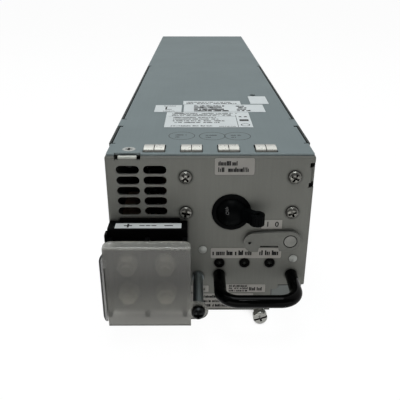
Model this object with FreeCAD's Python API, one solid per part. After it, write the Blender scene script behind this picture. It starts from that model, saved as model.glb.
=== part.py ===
"""Plug-in direct-current power supply for a router: a folded steel case whose front carries a
breaker, a covered terminal block, a switch under a swinging plate, lamps and a pull handle.

Sizes are millimetres. X runs to the right as seen from the front, Y into the case, Z up. The
pieces are drawn with the front face at Y = 0 and moved at the end, so that the origin is the
centre of the underside.
"""
import FreeCAD, Part
import math
import os
from FreeCAD import Vector

# Front layout across, from the left edge to the right edge
block_inset = 0.5
block_width = 39.2
block_to_standoff = 5.4
standoff_to_handle = 11.1
handle_span = 38.0
handle_to_edge = 7.8

# Front layout up, from the underside to the top
handle_height = 22.8
handle_to_leds = 7.2
leds_to_pivot = 14.0
pivot_to_breaker = 15.3
pole_pitch = 18.9
breaker_to_top = 11.8

# Depth layout inside, from the front face to the rear face
front_room = 128.0
sink_length = 170.0
sink_to_core = 14.0
core_length = 44.0
core_to_cans = 7.0
can_radius = 12.5
can_gap = 3.0
cans_to_rear = 52.0

# Case of folded sheet
sheet = 1.2
cover_sheet = 1.0
bend_radius = 1.6
seat_gap = 0.1
pan_depth = 17.0
tongue_front = 4.5
lip_gap = 0.6
lip_one_end = 48.0
lip_two_start = 63.0
lip_two_end = 244.0
notch_reach = 1.4
short_notch = 1.0
long_notch = 2.3
cover_front = 0.8
cover_front_inset = 1.0
cover_edge_round = 0.3
cover_notch = 2.0
rear_flange = 12.0

# Fold windows with the tabs that show in them
top_window_inset = 4.75
top_window_width = 12.7
window_depth = 3.5
window_drop = 2.05
top_tab_width = 8.9
top_tab_drop = 0.1
tab_round = 1.1
side_window_drop = 4.6
side_window_height = 12.85
side_window_width = 2.75
side_window_depth = 2.0
side_tab_height = 7.9
side_tab_inset = 1.5

# Cut corner at the lower right, and the room behind it for the router's sill
corner_step_x = 17.9
corner_step_z = 13.4
corner_step_round = 1.7
corner_cut_x = 14.2
corner_cut_z = 16.3
corner_tab_reach = 20.0
corner_tab_bottom = 8.0
corner_tab_top = 15.0
relief_reach = 33.0
relief_depth = 14.0

# Vent slots, front and rear
vent_length = 11.3
vent_height = 4.4
vent_pitch_x = 13.2
vent_pitch_z = 5.5
vent_columns = 2
vent_rows = 5
vent_inset = 10.9
vent_drop = 8.1
rear_vent_columns = 6
rear_vent_rows = 5

# Spring fingers on the lid
finger_pitch = 18.2
finger_pairs = 4
finger_width = 4.85
finger_slit = 0.4
finger_start = 3.1
finger_length = 10.6
finger_rise = 1.25
finger_crown = 0.4
finger_riser = 0.5
finger_foot = 0.6
finger_sheet = 0.35
finger_room = 0.4

# Lid screw, countersunk
lid_screw_inset = 11.2
lid_screw_back = 7.6
lid_screw_head_radius = 3.2
lid_screw_cone = 1.6
lid_screw_radius = 1.6
lid_screw_recess = 0.9
lid_screw_length = 9.0

# Round hole in the lid
lid_hole_offset = 32.3
lid_hole_back = 125.2
lid_hole_radius = 2.0

# Fits and common fasteners
clearance = 0.1
running_gap = 0.05
swing_gap = 0.3
recess_width = 1.1
recess_depth = 1.9

# Breaker
breaker_edge = 9.8
breaker_screw_span = 53.2
breaker_end = 3.4
breaker_side_gap = 0.3
breaker_depth = 48.0
boss_radius = 9.8
boss_offset = 3.8
boss_proud = 0.6
breaker_screw_head_radius = 3.3
breaker_screw_head_height = 2.1
breaker_screw_radius = 1.7
breaker_screw_length = 9.0
breaker_screw_turns = (12.0, 50.0, 70.0, 28.0)
breaker_stud_inset = 7.5
breaker_stud_radius = 2.5
breaker_stud_length = 10.0
breaker_nut_flats = 8.0
breaker_nut_height = 4.0

# Breaker toggle
hub_radius = 8.2
hub_half_height = 7.0
hub_back = 3.0
trunnion_radius = 1.5
trunnion_length = 1.5
lever_angle = 48.0
lever_length = 16.2
lever_width = 3.3
lever_height = 6.4
knob_radius = 3.75
knob_height = 5.7
knob_hole_radius = 1.3
knob_groove_radius = 0.32
knob_grooves = 9
knob_groove_step = 22.0

# Swinging plate over the mode switch
pivot_to_edge = 10.0
plate_gap = 1.4
plate_thickness = 1.5
plate_end_radius = 5.4
plate_reach = 18.4
plate_droop = 0.7
plate_notch_left = 15.6
plate_notch_right = 6.0
plate_notch_drop = 2.45
plate_notch_slant = 1.6
plate_dimple_radius = 0.8
plate_dimple_out = 2.3
pivot_shoulder_radius = 2.3
pivot_head_radius = 3.1
pivot_head_thickness = 0.7
pivot_ring_gap = 0.5
pivot_spacer_radius = 3.6
pivot_shank_radius = 1.5
pivot_tail_length = 1.4

# Mode switch
switch_to_pivot = 9.9
switch_drop = 1.4
switch_window_width = 9.8
switch_window_height = 7.0
switch_wall = 1.6
switch_depth = 8.2
slider_width = 6.0
slider_height = 8.4
slider_thickness = 1.8
slider_travel = 4.0
slider_setback = 0.4
slider_knob_width = 3.4
slider_knob_height = 5.0
slider_groove = 0.5

# Lamps and their board
led_pitch = 13.15
led_count = 3
bezel_radius = 2.7
bezel_proud = 0.9
bezel_round = 0.5
bezel_barrel_radius = 2.3
bezel_barrel_length = 4.0
led_radius = 1.45
led_setback = 0.2
led_length = 6.0
lead_size = 0.5
lead_spread = 1.27
control_board_thickness = 1.6
control_board_side = 3.0
control_board_width = 38.5

# Handle
handle_bar_radius = 3.175
handle_reach = 24.6
handle_bend_radius = 9.0
handle_screw_radius = 2.0
handle_screw_depth = 9.0
handle_screw_head_radius = 3.4
handle_screw_head_height = 2.2

# Captive screw and its ferrule
captive_to_handle = 16.7
captive_height = 4.15
captive_shank_radius = 1.95
captive_head_radius = 3.75
captive_head_length = 3.6
captive_head_round = 0.9
captive_tip = 10.5
captive_float = 0.5
captive_slot_width = 1.0
captive_slot_depth = 1.3
captive_slot_turn = 19.0
ferrule_radius = 2.9
ferrule_flange_radius = 3.6
ferrule_flange = 1.0
ferrule_length = 9.2
ferrule_tail_radius = 2.6

# Two headed studs pressed into the panel
stud_rim_radius = 2.15
stud_rim_height = 0.3
stud_dome_radius = 2.0
stud_dome_height = 0.5
stud_shank_radius = 1.5
stud_tail_length = 3.0
left_stud_offset = 2.4
left_stud_rise = 7.9
right_stud_inset = 7.3
right_stud_rise = 2.5

# Terminal block
block_bottom = 6.0
block_height = 48.5
block_thickness = 9.0
block_edge_round = 0.8
ridge_inset_left = 5.2
ridge_inset_right = 3.8
ridge_height = 1.6
ridge_depth = 1.6
barrier_thickness = 2.3
barrier_reach = 15.0
barrier_lift = 7.7
barrier_drop = 4.5
lug_reach = 1.2
lug_height = 4.6
lug_drop = 1.6
lug_back = 7.5
lug_length = 4.5
boss_inset = 4.5
boss_lift = 6.0
boss_drop = 7.0
boss_through = 4.8
pad_rise = 8.0
pad_width = 11.6
pad_overhang = 6.0

# Terminal studs, washers and nuts
terminal_pair_height = 32.4
terminal_spacing = 15.9
terminal_radius = 2.5
terminal_reach = 8.0
terminal_tail = 8.0
washer_radius = 5.0
washer_thickness = 1.0
nut_flats = 8.0
nut_height = 4.7

# Terminal cover of clear-frosted sheet
cover_reach = 30.6
film = 1.2
cover_left_offset = 1.1
cover_right_offset = 1.9
cover_bottom = 13.2
cover_top = 56.0
cover_flange = 6.6
cover_corner_radius = 3.6
cover_fold_radius = 1.0
ear_radius = 4.8
ear_height = 21.8
flap_bulge = 2.4
flap_end = 13.4
flap_bottom = 14.6
flap_top = 51.5
flap_shoulder = 44.5
flap_shoulder_run = 5.0
flap_corner_radius = 2.6
flap_slit = 0.5
flap_slit_top = 45.4

# Cover standoff and its screw
standoff_radius = 2.55
standoff_base_radius = 2.85
standoff_base = 2.0
standoff_tail_radius = 1.9
standoff_tail = 2.4
standoff_bore = 10.0
cover_screw_radius = 1.6
cover_screw_length = 9.0
cover_screw_head_radius = 3.3
cover_screw_head_height = 4.0

# Copper bars
bar_thickness = 2.0
bar_width = 10.0
return_bar_rise = 0.8
return_bar_back = 36.0
line_bar_top = 48.6
bar_foot = 12.0

# Main board and what stands on it
board_thickness = 1.6
board_lift = 6.3
board_front = 24.0
board_rear = 26.0
board_side = 2.0
board_standoff_radius = 3.0
board_standoff_inset = 6.0
board_screw_radius = 1.4
board_screw_head_radius = 2.8
board_screw_head_height = 1.8
board_screw_length = 5.0

choke_x = -26.0
choke_back = 92.0
choke_outer_radius = 17.0
choke_inner_radius = 9.5
choke_height = 13.0
choke_turns = 16
turn_width = 2.0
turn_thickness = 1.8

sink_base = 4.0
sink_gap = 18.0
sink_fin_length = 22.0
sink_fin_thickness = 1.6
sink_fin_pitch = 8.0
sink_fins = 7

core_depth = 30.0
core_height = 36.0
core_limb = 7.0
core_window = 9.0
coil_wall = 7.5
coil_end_gap = 0.2

can_height = 42.0
can_edge_round = 1.5

# Plug at the rear
plug_width = 60.0
plug_height = 26.0
plug_inside = 40.0
plug_proud = 6.0
blade_thickness = 1.5
blade_height = 14.0
blade_proud = 7.0
blade_inside = 6.0
blade_pitch = 9.0
blade_count = 6

# Places that follow from the layout
case_width = (block_inset + block_width + block_to_standoff + standoff_to_handle
              + handle_span + handle_to_edge)
lower_pole_z = handle_height + handle_to_leds + leds_to_pivot + pivot_to_breaker
upper_pole_z = lower_pole_z + pole_pitch
case_height = upper_pole_z + breaker_to_top
right = case_width / 2
left = -right
can_pitch = 2 * can_radius + can_gap
sink_end = front_room + sink_length
core_start = sink_end + sink_to_core
core_end = core_start + core_length
first_can = core_end + core_to_cans + can_radius
last_can = first_can + can_pitch
case_depth = last_can + can_radius + cans_to_rear
board_middle = (sink_end + core_start) / 2
pan_top = case_height - cover_sheet
wall_front = pan_depth + seat_gap
tongue_outer = right - sheet - seat_gap
tongue_inner = tongue_outer - sheet
inner_bend = bend_radius - sheet
block_left = left + block_inset
block_right = block_left + block_width
block_top = block_bottom + block_height
pad_face = -block_thickness - pad_rise
standoff_x = block_right + block_to_standoff
handle_left = standoff_x + standoff_to_handle
handle_right = handle_left + handle_span
leds_z = handle_height + handle_to_leds
pivot_x = right - pivot_to_edge
pivot_z = leds_z + leds_to_pivot
breaker_right = right - breaker_edge
breaker_left = breaker_right - breaker_screw_span
hub_x = (breaker_left + breaker_right) / 2 - boss_offset
captive_x = handle_right - captive_to_handle
switch_x = pivot_x - switch_to_pivot
switch_z = pivot_z - switch_drop
switch_back = sheet + switch_depth
board_bottom = sheet + board_lift
board_top = board_bottom + board_thickness
board_end = case_depth - board_rear
bar_front = sheet + boss_through
breaker_back = sheet + breaker_depth


def block(x0, x1, y0, y1, z0, z1):
    """Box between two opposite corners."""
    return Part.makeBox(x1 - x0, y1 - y0, z1 - z0, Vector(x0, y0, z0))


def slab(side, near, far, y0, y1, z0, z1):
    """Box on the left (side -1) or right (side 1), between two distances from the middle."""
    edges = sorted((side * near, side * far))
    return block(edges[0], edges[1], y0, y1, z0, z1)


def rod(radius, x, z, y0, y1):
    """Round bar along Y."""
    return Part.makeCylinder(radius, y1 - y0, Vector(x, y0, z), Vector(0, 1, 0))


def post(radius, x, y, z0, z1):
    """Round bar along Z."""
    return Part.makeCylinder(radius, z1 - z0, Vector(x, y, z0))


def face_of(start, steps):
    """Flat face: each step is an end point, or a pair (middle, end) for an arc."""
    edges = []
    here = start
    for step in steps:
        if isinstance(step, tuple):
            middle, there = step
            edges.append(Part.Arc(here, middle, there).toShape())
        else:
            there = step
            edges.append(Part.LineSegment(here, there).toShape())
        here = there
    return Part.Face(Part.Wire(edges))


def round_edges(shape, radius, wanted):
    """Fillet the edges whose midpoints pass a test."""
    edges = [edge for edge in shape.Edges if wanted(edge.CenterOfMass)]
    return shape.makeFillet(radius, edges)


def slot(x, z, length, height, y0, y1):
    """Obround bar along Y, lying level."""
    r = height / 2
    c = length / 2 - r
    face = face_of(Vector(x - c, y0, z + r), [
        Vector(x + c, y0, z + r),
        (Vector(x + c + r, y0, z), Vector(x + c, y0, z - r)),
        Vector(x - c, y0, z - r),
        (Vector(x - c - r, y0, z), Vector(x - c, y0, z + r))])
    return face.extrude(Vector(0, y1 - y0, 0))


def hex_nut(flats, hole_radius, x, z, y0, y1):
    """Hexagon nut with its axis along Y."""
    corner = flats / math.sqrt(3)
    turns = [math.radians(60 * step) for step in range(6)]
    points = [Vector(x + corner * math.cos(turn), y0, z + corner * math.sin(turn)) for turn in turns]
    nut = face_of(points[-1], points).extrude(Vector(0, y1 - y0, 0))
    return nut.cut(rod(hole_radius, x, z, y0, y1))


def pan_screw(head_radius, head_height, radius, length, seat_y):
    """Pan-head screw along Y at X = Z = 0: domed head in front of seat_y, cross recess, shank."""
    front = seat_y - head_height
    rim = Vector(head_radius, seat_y, 0)
    shoulder = Vector(head_radius, seat_y - head_height / 3, 0)
    bulge = Vector(head_radius * 0.78, seat_y - head_height * 0.8, 0)
    half_face = face_of(Vector(0, seat_y, 0), [
        rim, shoulder, (bulge, Vector(head_radius * 0.4, front, 0)),
        Vector(0, front, 0), Vector(0, seat_y, 0)])
    head = half_face.revolve(Vector(0, 0, 0), Vector(0, 1, 0), 360)
    long = head_radius * 0.64
    wide = recess_width / 2
    deep = front + recess_depth
    cross = block(-long, long, front - 1, deep, -wide, wide)
    cross = cross.fuse(block(-wide, wide, front - 1, deep, -long, long))
    return head.cut(cross).fuse(rod(radius, 0, 0, seat_y, seat_y + length))


def grid(x0, pitch_x, columns, z0, pitch_z, rows):
    """Centres of a rectangular pattern that grows to the right and downwards."""
    return [(x0 + column * pitch_x, z0 - row * pitch_z)
            for column in range(columns) for row in range(rows)]


def breaker_points():
    """Screw places round the breaker."""
    return [(x, z) for x in (breaker_left, breaker_right) for z in (lower_pole_z, upper_pole_z)]


def led_points():
    """Lamp places, the first one over the handle's left leg."""
    return [handle_left + step * led_pitch for step in range(led_count)]


def terminal_points():
    """Two pairs of input studs, one pair in each bay of the block."""
    middle = (block_left + block_right) / 2
    first_bay = (block_left + barrier_thickness + middle - barrier_thickness / 2) / 2
    offset = middle - first_bay
    low = terminal_pair_height - terminal_spacing / 2
    return [(middle + side * offset, z) for side in (-1, 1) for z in (low, low + terminal_spacing)]


def finger_points():
    """Middles of the finger pairs, across the lid."""
    first = -finger_pitch * (finger_pairs - 1) / 2
    return [first + pair * finger_pitch for pair in range(finger_pairs)]


def stud_points():
    """The two pressed-in panel studs."""
    return [(standoff_x + left_stud_offset, leds_z + left_stud_rise),
            (right - right_stud_inset, leds_z + right_stud_rise)]


def front_panel():
    """Front pan: web, top flange and side flanges, with every opening of the front."""
    outer = block(left, right, 0, pan_depth, 0, pan_top)
    outer = round_edges(outer, bend_radius, lambda c: c.z > sheet and c.y < pan_depth - seat_gap
                        and (c.y < seat_gap or c.z > pan_top - seat_gap))
    inner = block(left + sheet, right - sheet, sheet, case_depth, -sheet, pan_top - sheet)
    inner = round_edges(inner, inner_bend, lambda c: c.z > 0 and c.y < case_depth - seat_gap
                        and (c.y < sheet + seat_gap or c.z > pan_top - sheet - seat_gap))
    pan = outer.cut(inner)

    before = -sheet
    behind = 2 * sheet
    vents = grid(left + vent_inset, vent_pitch_x, vent_columns,
                 case_height - vent_drop, vent_pitch_z, vent_rows)
    cuts = [slot(x, z, vent_length, vent_height, before, behind) for x, z in vents]
    holes = [(x, z, breaker_screw_radius) for x, z in breaker_points()]
    holes += [(x, leds_z, bezel_barrel_radius) for x in led_points()]
    holes += [(x, z, stud_shank_radius) for x, z in stud_points()]
    holes += [(x, handle_height, handle_screw_radius) for x in (handle_left, handle_right)]
    holes += [(standoff_x, ear_height, standoff_tail_radius),
              (pivot_x, pivot_z, pivot_shank_radius),
              (captive_x, captive_height, ferrule_tail_radius),
              (hub_x, lower_pole_z, boss_radius)]
    cuts += [rod(radius + clearance, x, z, before, behind) for x, z, radius in holes]
    cuts.append(block(switch_x - switch_window_width / 2, switch_x + switch_window_width / 2,
                      before, behind,
                      switch_z - switch_window_height / 2, switch_z + switch_window_height / 2))
    cuts.append(block(block_left + boss_inset - clearance, block_right - boss_inset + clearance,
                      before, behind,
                      block_bottom + boss_lift - clearance, block_top - boss_drop + clearance))

    window = left + top_window_inset
    cuts.append(block(window, window + top_window_width, before, window_depth,
                      pan_top - window_drop, case_height))
    cuts.append(block(right - side_window_width, right + sheet, before, side_window_depth,
                      case_height - side_window_drop - side_window_height,
                      case_height - side_window_drop))
    cuts.append(block(right - corner_step_x, right + sheet, before, behind, before, corner_step_z))
    cut_x = right - corner_cut_x
    cuts.append(block(cut_x, right + sheet, before, case_depth, before, corner_cut_z))
    nib_x = cut_x - corner_step_round
    nib_z = corner_step_z + corner_step_round
    nib = block(nib_x, cut_x, before, behind, corner_step_z, nib_z)
    cuts.append(nib.cut(rod(corner_step_round, nib_x, nib_z, before, behind)))
    screw_x = left + lid_screw_inset
    cuts.append(post(lid_screw_head_radius, screw_x, lid_screw_back,
                     pan_top - 2 * sheet, case_height))

    middle = window + top_window_width / 2
    tab_top = pan_top - top_tab_drop
    top_tab = block(middle - top_tab_width / 2, middle + top_tab_width / 2, 0, sheet,
                    pan_top - window_drop, tab_top)
    top_tab = round_edges(top_tab, tab_round,
                          lambda c: c.y < seat_gap and c.z > tab_top - seat_gap)
    tab_middle = case_height - side_window_drop - side_window_height / 2
    tab_end = right - side_tab_inset
    side_tab = block(right - side_window_width, tab_end, 0, sheet,
                     tab_middle - side_tab_height / 2, tab_middle + side_tab_height / 2)
    side_tab = round_edges(side_tab, tab_round,
                           lambda c: c.y < seat_gap and c.x > tab_end - seat_gap)
    return pan.cut(cuts).fuse([top_tab, side_tab]).removeSplitter()


def chassis_tray():
    """Floor and side walls folded from one sheet, with lips, front tongues and a corner tab."""
    relief_left = right - relief_reach
    tray = block(left, right, wall_front, case_depth, 0, sheet)
    floor_front = sheet + seat_gap
    floor_reach = tongue_outer - inner_bend
    tray = tray.fuse(block(-floor_reach, floor_reach, floor_front, wall_front, 0, sheet))
    tray = tray.cut(block(relief_left, right, 0, relief_depth, -sheet, 2 * sheet))
    tongue_top = pan_top - sheet - inner_bend - seat_gap
    for side in (-1, 1):
        foot = corner_tab_bottom if side > 0 else 0
        tray = tray.fuse(slab(side, right - sheet, right, wall_front, case_depth, 0, pan_top))
        tray = tray.fuse(slab(side, right - sheet, right, wall_front, lip_one_end, 0, case_height))
        tray = tray.fuse(slab(side, right - sheet, right, lip_two_start, lip_two_end,
                              0, case_height))
        tray = tray.fuse(slab(side, tongue_inner, right - sheet, wall_front, wall_front + sheet,
                              foot, tongue_top))
        tray = tray.fuse(slab(side, tongue_inner, tongue_outer, tongue_front, wall_front + sheet,
                              foot, tongue_top))
    tray = tray.fuse(block(tongue_outer - corner_tab_reach, floor_reach,
                           floor_front, floor_front + sheet, corner_tab_bottom, corner_tab_top))
    tray = tray.fuse(block(tongue_inner, tongue_outer, floor_front + inner_bend, tongue_front,
                           corner_tab_bottom, corner_tab_top))
    holes = [post(board_screw_radius + clearance, x, y, -sheet, 2 * sheet)
             for x, y in board_standoff_points()]
    return tray.cut(holes).removeSplitter()


def top_cover():
    """Lid: flat sheet with edges let in for the wall lips, finger slots and a notch in front."""
    lid = block(left, right, cover_front, case_depth, pan_top, case_height)
    lid = round_edges(lid, cover_edge_round,
                      lambda c: c.y < cover_front + seat_gap and c.z > case_height - seat_gap)
    reach = right - sheet - lip_gap
    above = case_height + sheet
    cuts = []
    for side in (-1, 1):
        cuts.append(slab(side, right - cover_front_inset, right, 0, pan_depth, 0, above))
        for start, end in ((pan_depth, lip_one_end), (lip_two_start, lip_two_end)):
            first = start - lip_gap
            last = end + lip_gap
            cuts.append(slab(side, reach, right, first, last, 0, above))
            cuts.append(slab(side, reach - notch_reach, right, first, first + short_notch, 0, above))
            cuts.append(slab(side, reach - notch_reach, right, last - long_notch, last, 0, above))
    half_pair = finger_width + finger_slit / 2 + finger_room
    cuts += [block(x - half_pair, x + half_pair, finger_start - finger_room,
                   finger_start + finger_length + finger_room, 0, above) for x in finger_points()]
    cuts.append(post(lid_hole_radius, lid_hole_offset, lid_hole_back, 0, above))
    window = left + top_window_inset
    cuts.append(block(window, window + top_window_width, 0, cover_notch, 0, above))
    small = lid_screw_head_radius - cover_sheet
    cuts.append(Part.makeCone(small + running_gap, lid_screw_head_radius + running_gap,
                              cover_sheet, Vector(left + lid_screw_inset, lid_screw_back, pan_top)))
    return lid.cut(cuts)


def rear_panel():
    """Rear pan set in between the tray's walls, with vent slots and the plug's opening."""
    reach = right - sheet - seat_gap
    low = sheet + seat_gap
    high = pan_top - seat_gap
    pan = block(-reach, reach, case_depth - rear_flange, case_depth, low, high)
    pan = round_edges(pan, bend_radius, lambda c: c.y > case_depth - seat_gap and abs(c.x) > sheet)
    inside = block(sheet - reach, reach - sheet, case_depth - 2 * rear_flange,
                   case_depth - sheet, 0, case_height)
    pan = pan.cut(inside)
    first = -vent_pitch_x * (rear_vent_columns - 1) / 2
    vents = grid(first, vent_pitch_x, rear_vent_columns,
                 case_height - vent_drop, vent_pitch_z, rear_vent_rows)
    cuts = [slot(x, z, vent_length, vent_height, case_depth - 2 * sheet, case_depth + sheet)
            for x, z in vents]
    cuts.append(block(-plug_width / 2 - clearance, plug_width / 2 + clearance,
                      case_depth - 2 * sheet, case_depth + sheet,
                      board_top - clearance, board_top + plug_height + clearance))
    return pan.cut(cuts)


def emi_fingers():
    """Contact springs in the lid's slots, in pairs: steep risers and a low crown, on two flat feet."""
    low = pan_top
    high = pan_top + finger_sheet
    top = case_height + finger_rise
    crown = top - finger_crown
    start = finger_start
    end = finger_start + finger_length
    middle = (start + end) / 2
    rise_start = start + finger_foot
    rise_end = rise_start + finger_riser
    fall_end = end - finger_foot
    fall_start = fall_end - finger_riser
    face = face_of(Vector(0, start, low), [
        Vector(0, rise_start + finger_sheet, low),
        Vector(0, rise_end + finger_sheet, crown - finger_sheet),
        (Vector(0, middle, top - finger_sheet),
         Vector(0, fall_start - finger_sheet, crown - finger_sheet)),
        Vector(0, fall_end - finger_sheet, low),
        Vector(0, end, low),
        Vector(0, end, high),
        Vector(0, fall_end, high),
        Vector(0, fall_start, crown),
        (Vector(0, middle, top), Vector(0, rise_end, crown)),
        Vector(0, rise_start, high),
        Vector(0, start, high),
        Vector(0, start, low)])
    finger = face.extrude(Vector(finger_width, 0, 0))
    return Part.makeCompound([finger.translated(Vector(x + shift, 0, 0)) for x in finger_points()
                              for shift in (-finger_width - finger_slit / 2, finger_slit / 2)])


def lid_screw():
    """Countersunk screw flush with the lid."""
    x = left + lid_screw_inset
    head = Part.makeCone(lid_screw_head_radius - lid_screw_cone, lid_screw_head_radius,
                         lid_screw_cone,
                         Vector(x, lid_screw_back, case_height - lid_screw_cone))
    wide = recess_width / 2
    long = lid_screw_head_radius * 0.55
    low = case_height - lid_screw_recess
    cross = block(x - long, x + long, lid_screw_back - wide, lid_screw_back + wide,
                  low, case_height)
    cross = cross.fuse(block(x - wide, x + wide, lid_screw_back - long, lid_screw_back + long,
                             low, case_height))
    shank = post(lid_screw_radius, x, lid_screw_back,
                 case_height - lid_screw_length, case_height - lid_screw_cone)
    return head.cut(cross).fuse(shank)


def breaker_body():
    """Moulded breaker case of two poles, with the round boss that fills the panel's hole."""
    low = lower_pole_z - pole_pitch / 2 + breaker_side_gap
    high = upper_pole_z + pole_pitch / 2 - breaker_side_gap
    body = block(breaker_left - breaker_end, breaker_right + breaker_end,
                 sheet, breaker_back, low, high)
    boss = rod(boss_radius, hub_x, lower_pole_z, -boss_proud, sheet)
    boss = round_edges(boss, boss_proud * 0.7, lambda c: c.y < -boss_proud / 2)
    body = body.fuse(boss)
    well = Part.makeSphere(hub_radius + swing_gap, Vector(hub_x, hub_back, lower_pole_z))
    half_well = hub_half_height + swing_gap
    well = well.common(block(hub_x - 2 * hub_radius, hub_x + 2 * hub_radius,
                             hub_back - 2 * hub_radius, hub_back + 2 * hub_radius,
                             lower_pole_z - half_well, lower_pole_z + half_well))
    axle_half = hub_half_height + trunnion_length + swing_gap
    cuts = [well, post(trunnion_radius + running_gap, hub_x, hub_back,
                       lower_pole_z - axle_half, lower_pole_z + axle_half)]
    cuts += [rod(breaker_screw_radius + running_gap, x, z, 0, breaker_screw_length + clearance)
             for x, z in breaker_points()]
    cuts += [rod(breaker_stud_radius + running_gap, x, z,
                 breaker_back - breaker_stud_length / 2, breaker_back + sheet)
             for x, z in breaker_stud_points()]
    split = block(breaker_left - breaker_end, breaker_right + breaker_end,
                  breaker_back - breaker_stud_length, breaker_back,
                  (lower_pole_z + upper_pole_z) / 2 - breaker_side_gap,
                  (lower_pole_z + upper_pole_z) / 2 + breaker_side_gap)
    return body.cut(cuts + [split])


def breaker_stud_points():
    """Rear studs of both poles: the line side on the left, the load side on the right."""
    return [(x, z) for x in (breaker_left - breaker_end + breaker_stud_inset,
                             breaker_right + breaker_end - breaker_stud_inset)
            for z in (lower_pole_z, upper_pole_z)]


def breaker_toggle():
    """Round hub on two trunnions, with a lever that ends in a grooved upright knob."""
    centre = Vector(hub_x, hub_back, lower_pole_z)
    hub = Part.makeSphere(hub_radius, centre)
    hub = hub.common(block(hub_x - 2 * hub_radius, hub_x + 2 * hub_radius,
                           hub_back - 2 * hub_radius, hub_back + 2 * hub_radius,
                           lower_pole_z - hub_half_height, lower_pole_z + hub_half_height))
    half_axle = hub_half_height + trunnion_length
    hub = hub.fuse(post(trunnion_radius, hub_x, hub_back,
                        lower_pole_z - half_axle, lower_pole_z + half_axle))
    lever = block(hub_x - lever_width / 2, hub_x + lever_width / 2,
                  hub_back - lever_length, hub_back,
                  lower_pole_z - lever_height / 2, lower_pole_z + lever_height / 2)
    knob_y = hub_back - lever_length
    low = lower_pole_z - knob_height / 2
    knob = post(knob_radius, hub_x, knob_y, low, low + knob_height)
    knob = round_edges(knob, knob_groove_radius, lambda c: True)
    toggle = hub.fuse([lever, knob])
    cuts = [post(knob_hole_radius, hub_x, knob_y, low, low + knob_height)]
    first = -90 - knob_groove_step * (knob_grooves - 1) / 2
    for step in range(knob_grooves):
        turn = math.radians(first + step * knob_groove_step)
        cuts.append(post(knob_groove_radius, hub_x + knob_radius * math.cos(turn),
                         knob_y + knob_radius * math.sin(turn), low, low + knob_height))
    toggle = toggle.cut(cuts)
    toggle.rotate(centre, Vector(0, 0, 1), lever_angle)
    return toggle


def breaker_screws():
    """Four pan-head screws that hold the breaker to the panel."""
    screw = pan_screw(breaker_screw_head_radius, breaker_screw_head_height,
                      breaker_screw_radius, breaker_screw_length, 0)
    screws = []
    for turn, (x, z) in zip(breaker_screw_turns, breaker_points()):
        turned = screw.copy()
        turned.rotate(Vector(0, 0, 0), Vector(0, 1, 0), turn)
        screws.append(turned.translated(Vector(x, 0, z)))
    return Part.makeCompound(screws)


def breaker_studs():
    """Threaded studs at the breaker's back."""
    return Part.makeCompound([rod(breaker_stud_radius, x, z, breaker_back - breaker_stud_length / 2,
                                  breaker_back + breaker_stud_length)
                              for x, z in breaker_stud_points()])


def breaker_nuts():
    """Nuts that clamp the copper bars on the breaker's studs."""
    seat = breaker_back + bar_thickness
    return Part.makeCompound([hex_nut(breaker_nut_flats, breaker_stud_radius + running_gap, x, z,
                                      seat, seat + breaker_nut_height)
                              for x, z in breaker_stud_points()])


def switch_cover_plate():
    """Swinging plate: two round ends, a notch in the lower edge and a counterbored pivot hole."""
    back = -plate_gap
    front = back - plate_thickness
    far_x = pivot_x - plate_reach
    far_z = pivot_z - plate_droop
    r = plate_end_radius
    tilt = math.atan2(plate_droop, plate_reach)
    up_x, up_z = -math.sin(tilt) * r, math.cos(tilt) * r
    end_x, end_z = math.cos(tilt) * r, math.sin(tilt) * r
    face = face_of(Vector(far_x + up_x, front, far_z + up_z), [
        Vector(pivot_x + up_x, front, pivot_z + up_z),
        (Vector(pivot_x + end_x, front, pivot_z + end_z),
         Vector(pivot_x - up_x, front, pivot_z - up_z)),
        Vector(far_x - up_x, front, far_z - up_z),
        (Vector(far_x - end_x, front, far_z - end_z),
         Vector(far_x + up_x, front, far_z + up_z))])
    plate = face.extrude(Vector(0, plate_thickness, 0))
    notch_top = pivot_z - plate_notch_drop
    notch_low = pivot_z - 2 * r
    slant = plate_notch_slant
    notch = face_of(Vector(pivot_x - plate_notch_left, front, notch_top), [
        Vector(pivot_x - plate_notch_right, front, notch_top),
        Vector(pivot_x - plate_notch_right + slant, front, notch_low),
        Vector(pivot_x - plate_notch_left - slant, front, notch_low),
        Vector(pivot_x - plate_notch_left, front, notch_top)])
    cuts = [notch.extrude(Vector(0, plate_thickness, 0)),
            rod(pivot_shoulder_radius + running_gap, pivot_x, pivot_z, front, back),
            rod(pivot_head_radius + pivot_ring_gap, pivot_x, pivot_z,
                front, front + pivot_head_thickness + clearance),
            rod(plate_dimple_radius, far_x - plate_dimple_out, far_z, front, back)]
    return plate.cut(cuts)


def plate_pivot():
    """Stepped rivet: spacer against the panel, shoulder in the plate, flush head, set tail."""
    seat = clearance - plate_gap
    front = -plate_gap - plate_thickness
    tail = sheet + pivot_tail_length
    pivot = rod(pivot_spacer_radius, pivot_x, pivot_z, seat, 0)
    pivot = pivot.fuse([
        rod(pivot_shoulder_radius, pivot_x, pivot_z, front, seat),
        rod(pivot_head_radius, pivot_x, pivot_z, front, front + pivot_head_thickness),
        rod(pivot_shank_radius, pivot_x, pivot_z, 0, sheet),
        rod(pivot_shoulder_radius, pivot_x, pivot_z, sheet, tail)])
    return pivot.removeSplitter()


def mode_switch_body():
    """Slide switch case behind the panel, open at the front where the slider runs."""
    room_width = slider_width + slider_travel + 2 * swing_gap
    room_height = slider_height + 2 * running_gap
    half_width = room_width / 2 + switch_wall
    half_height = room_height / 2 + switch_wall / 2
    body = block(switch_x - half_width, switch_x + half_width, sheet, switch_back,
                 switch_z - half_height, switch_z + half_height)
    room = block(switch_x - room_width / 2, switch_x + room_width / 2,
                 sheet, sheet + slider_thickness + 2 * clearance,
                 switch_z - room_height / 2, switch_z + room_height / 2)
    return body.cut(room)


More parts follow.
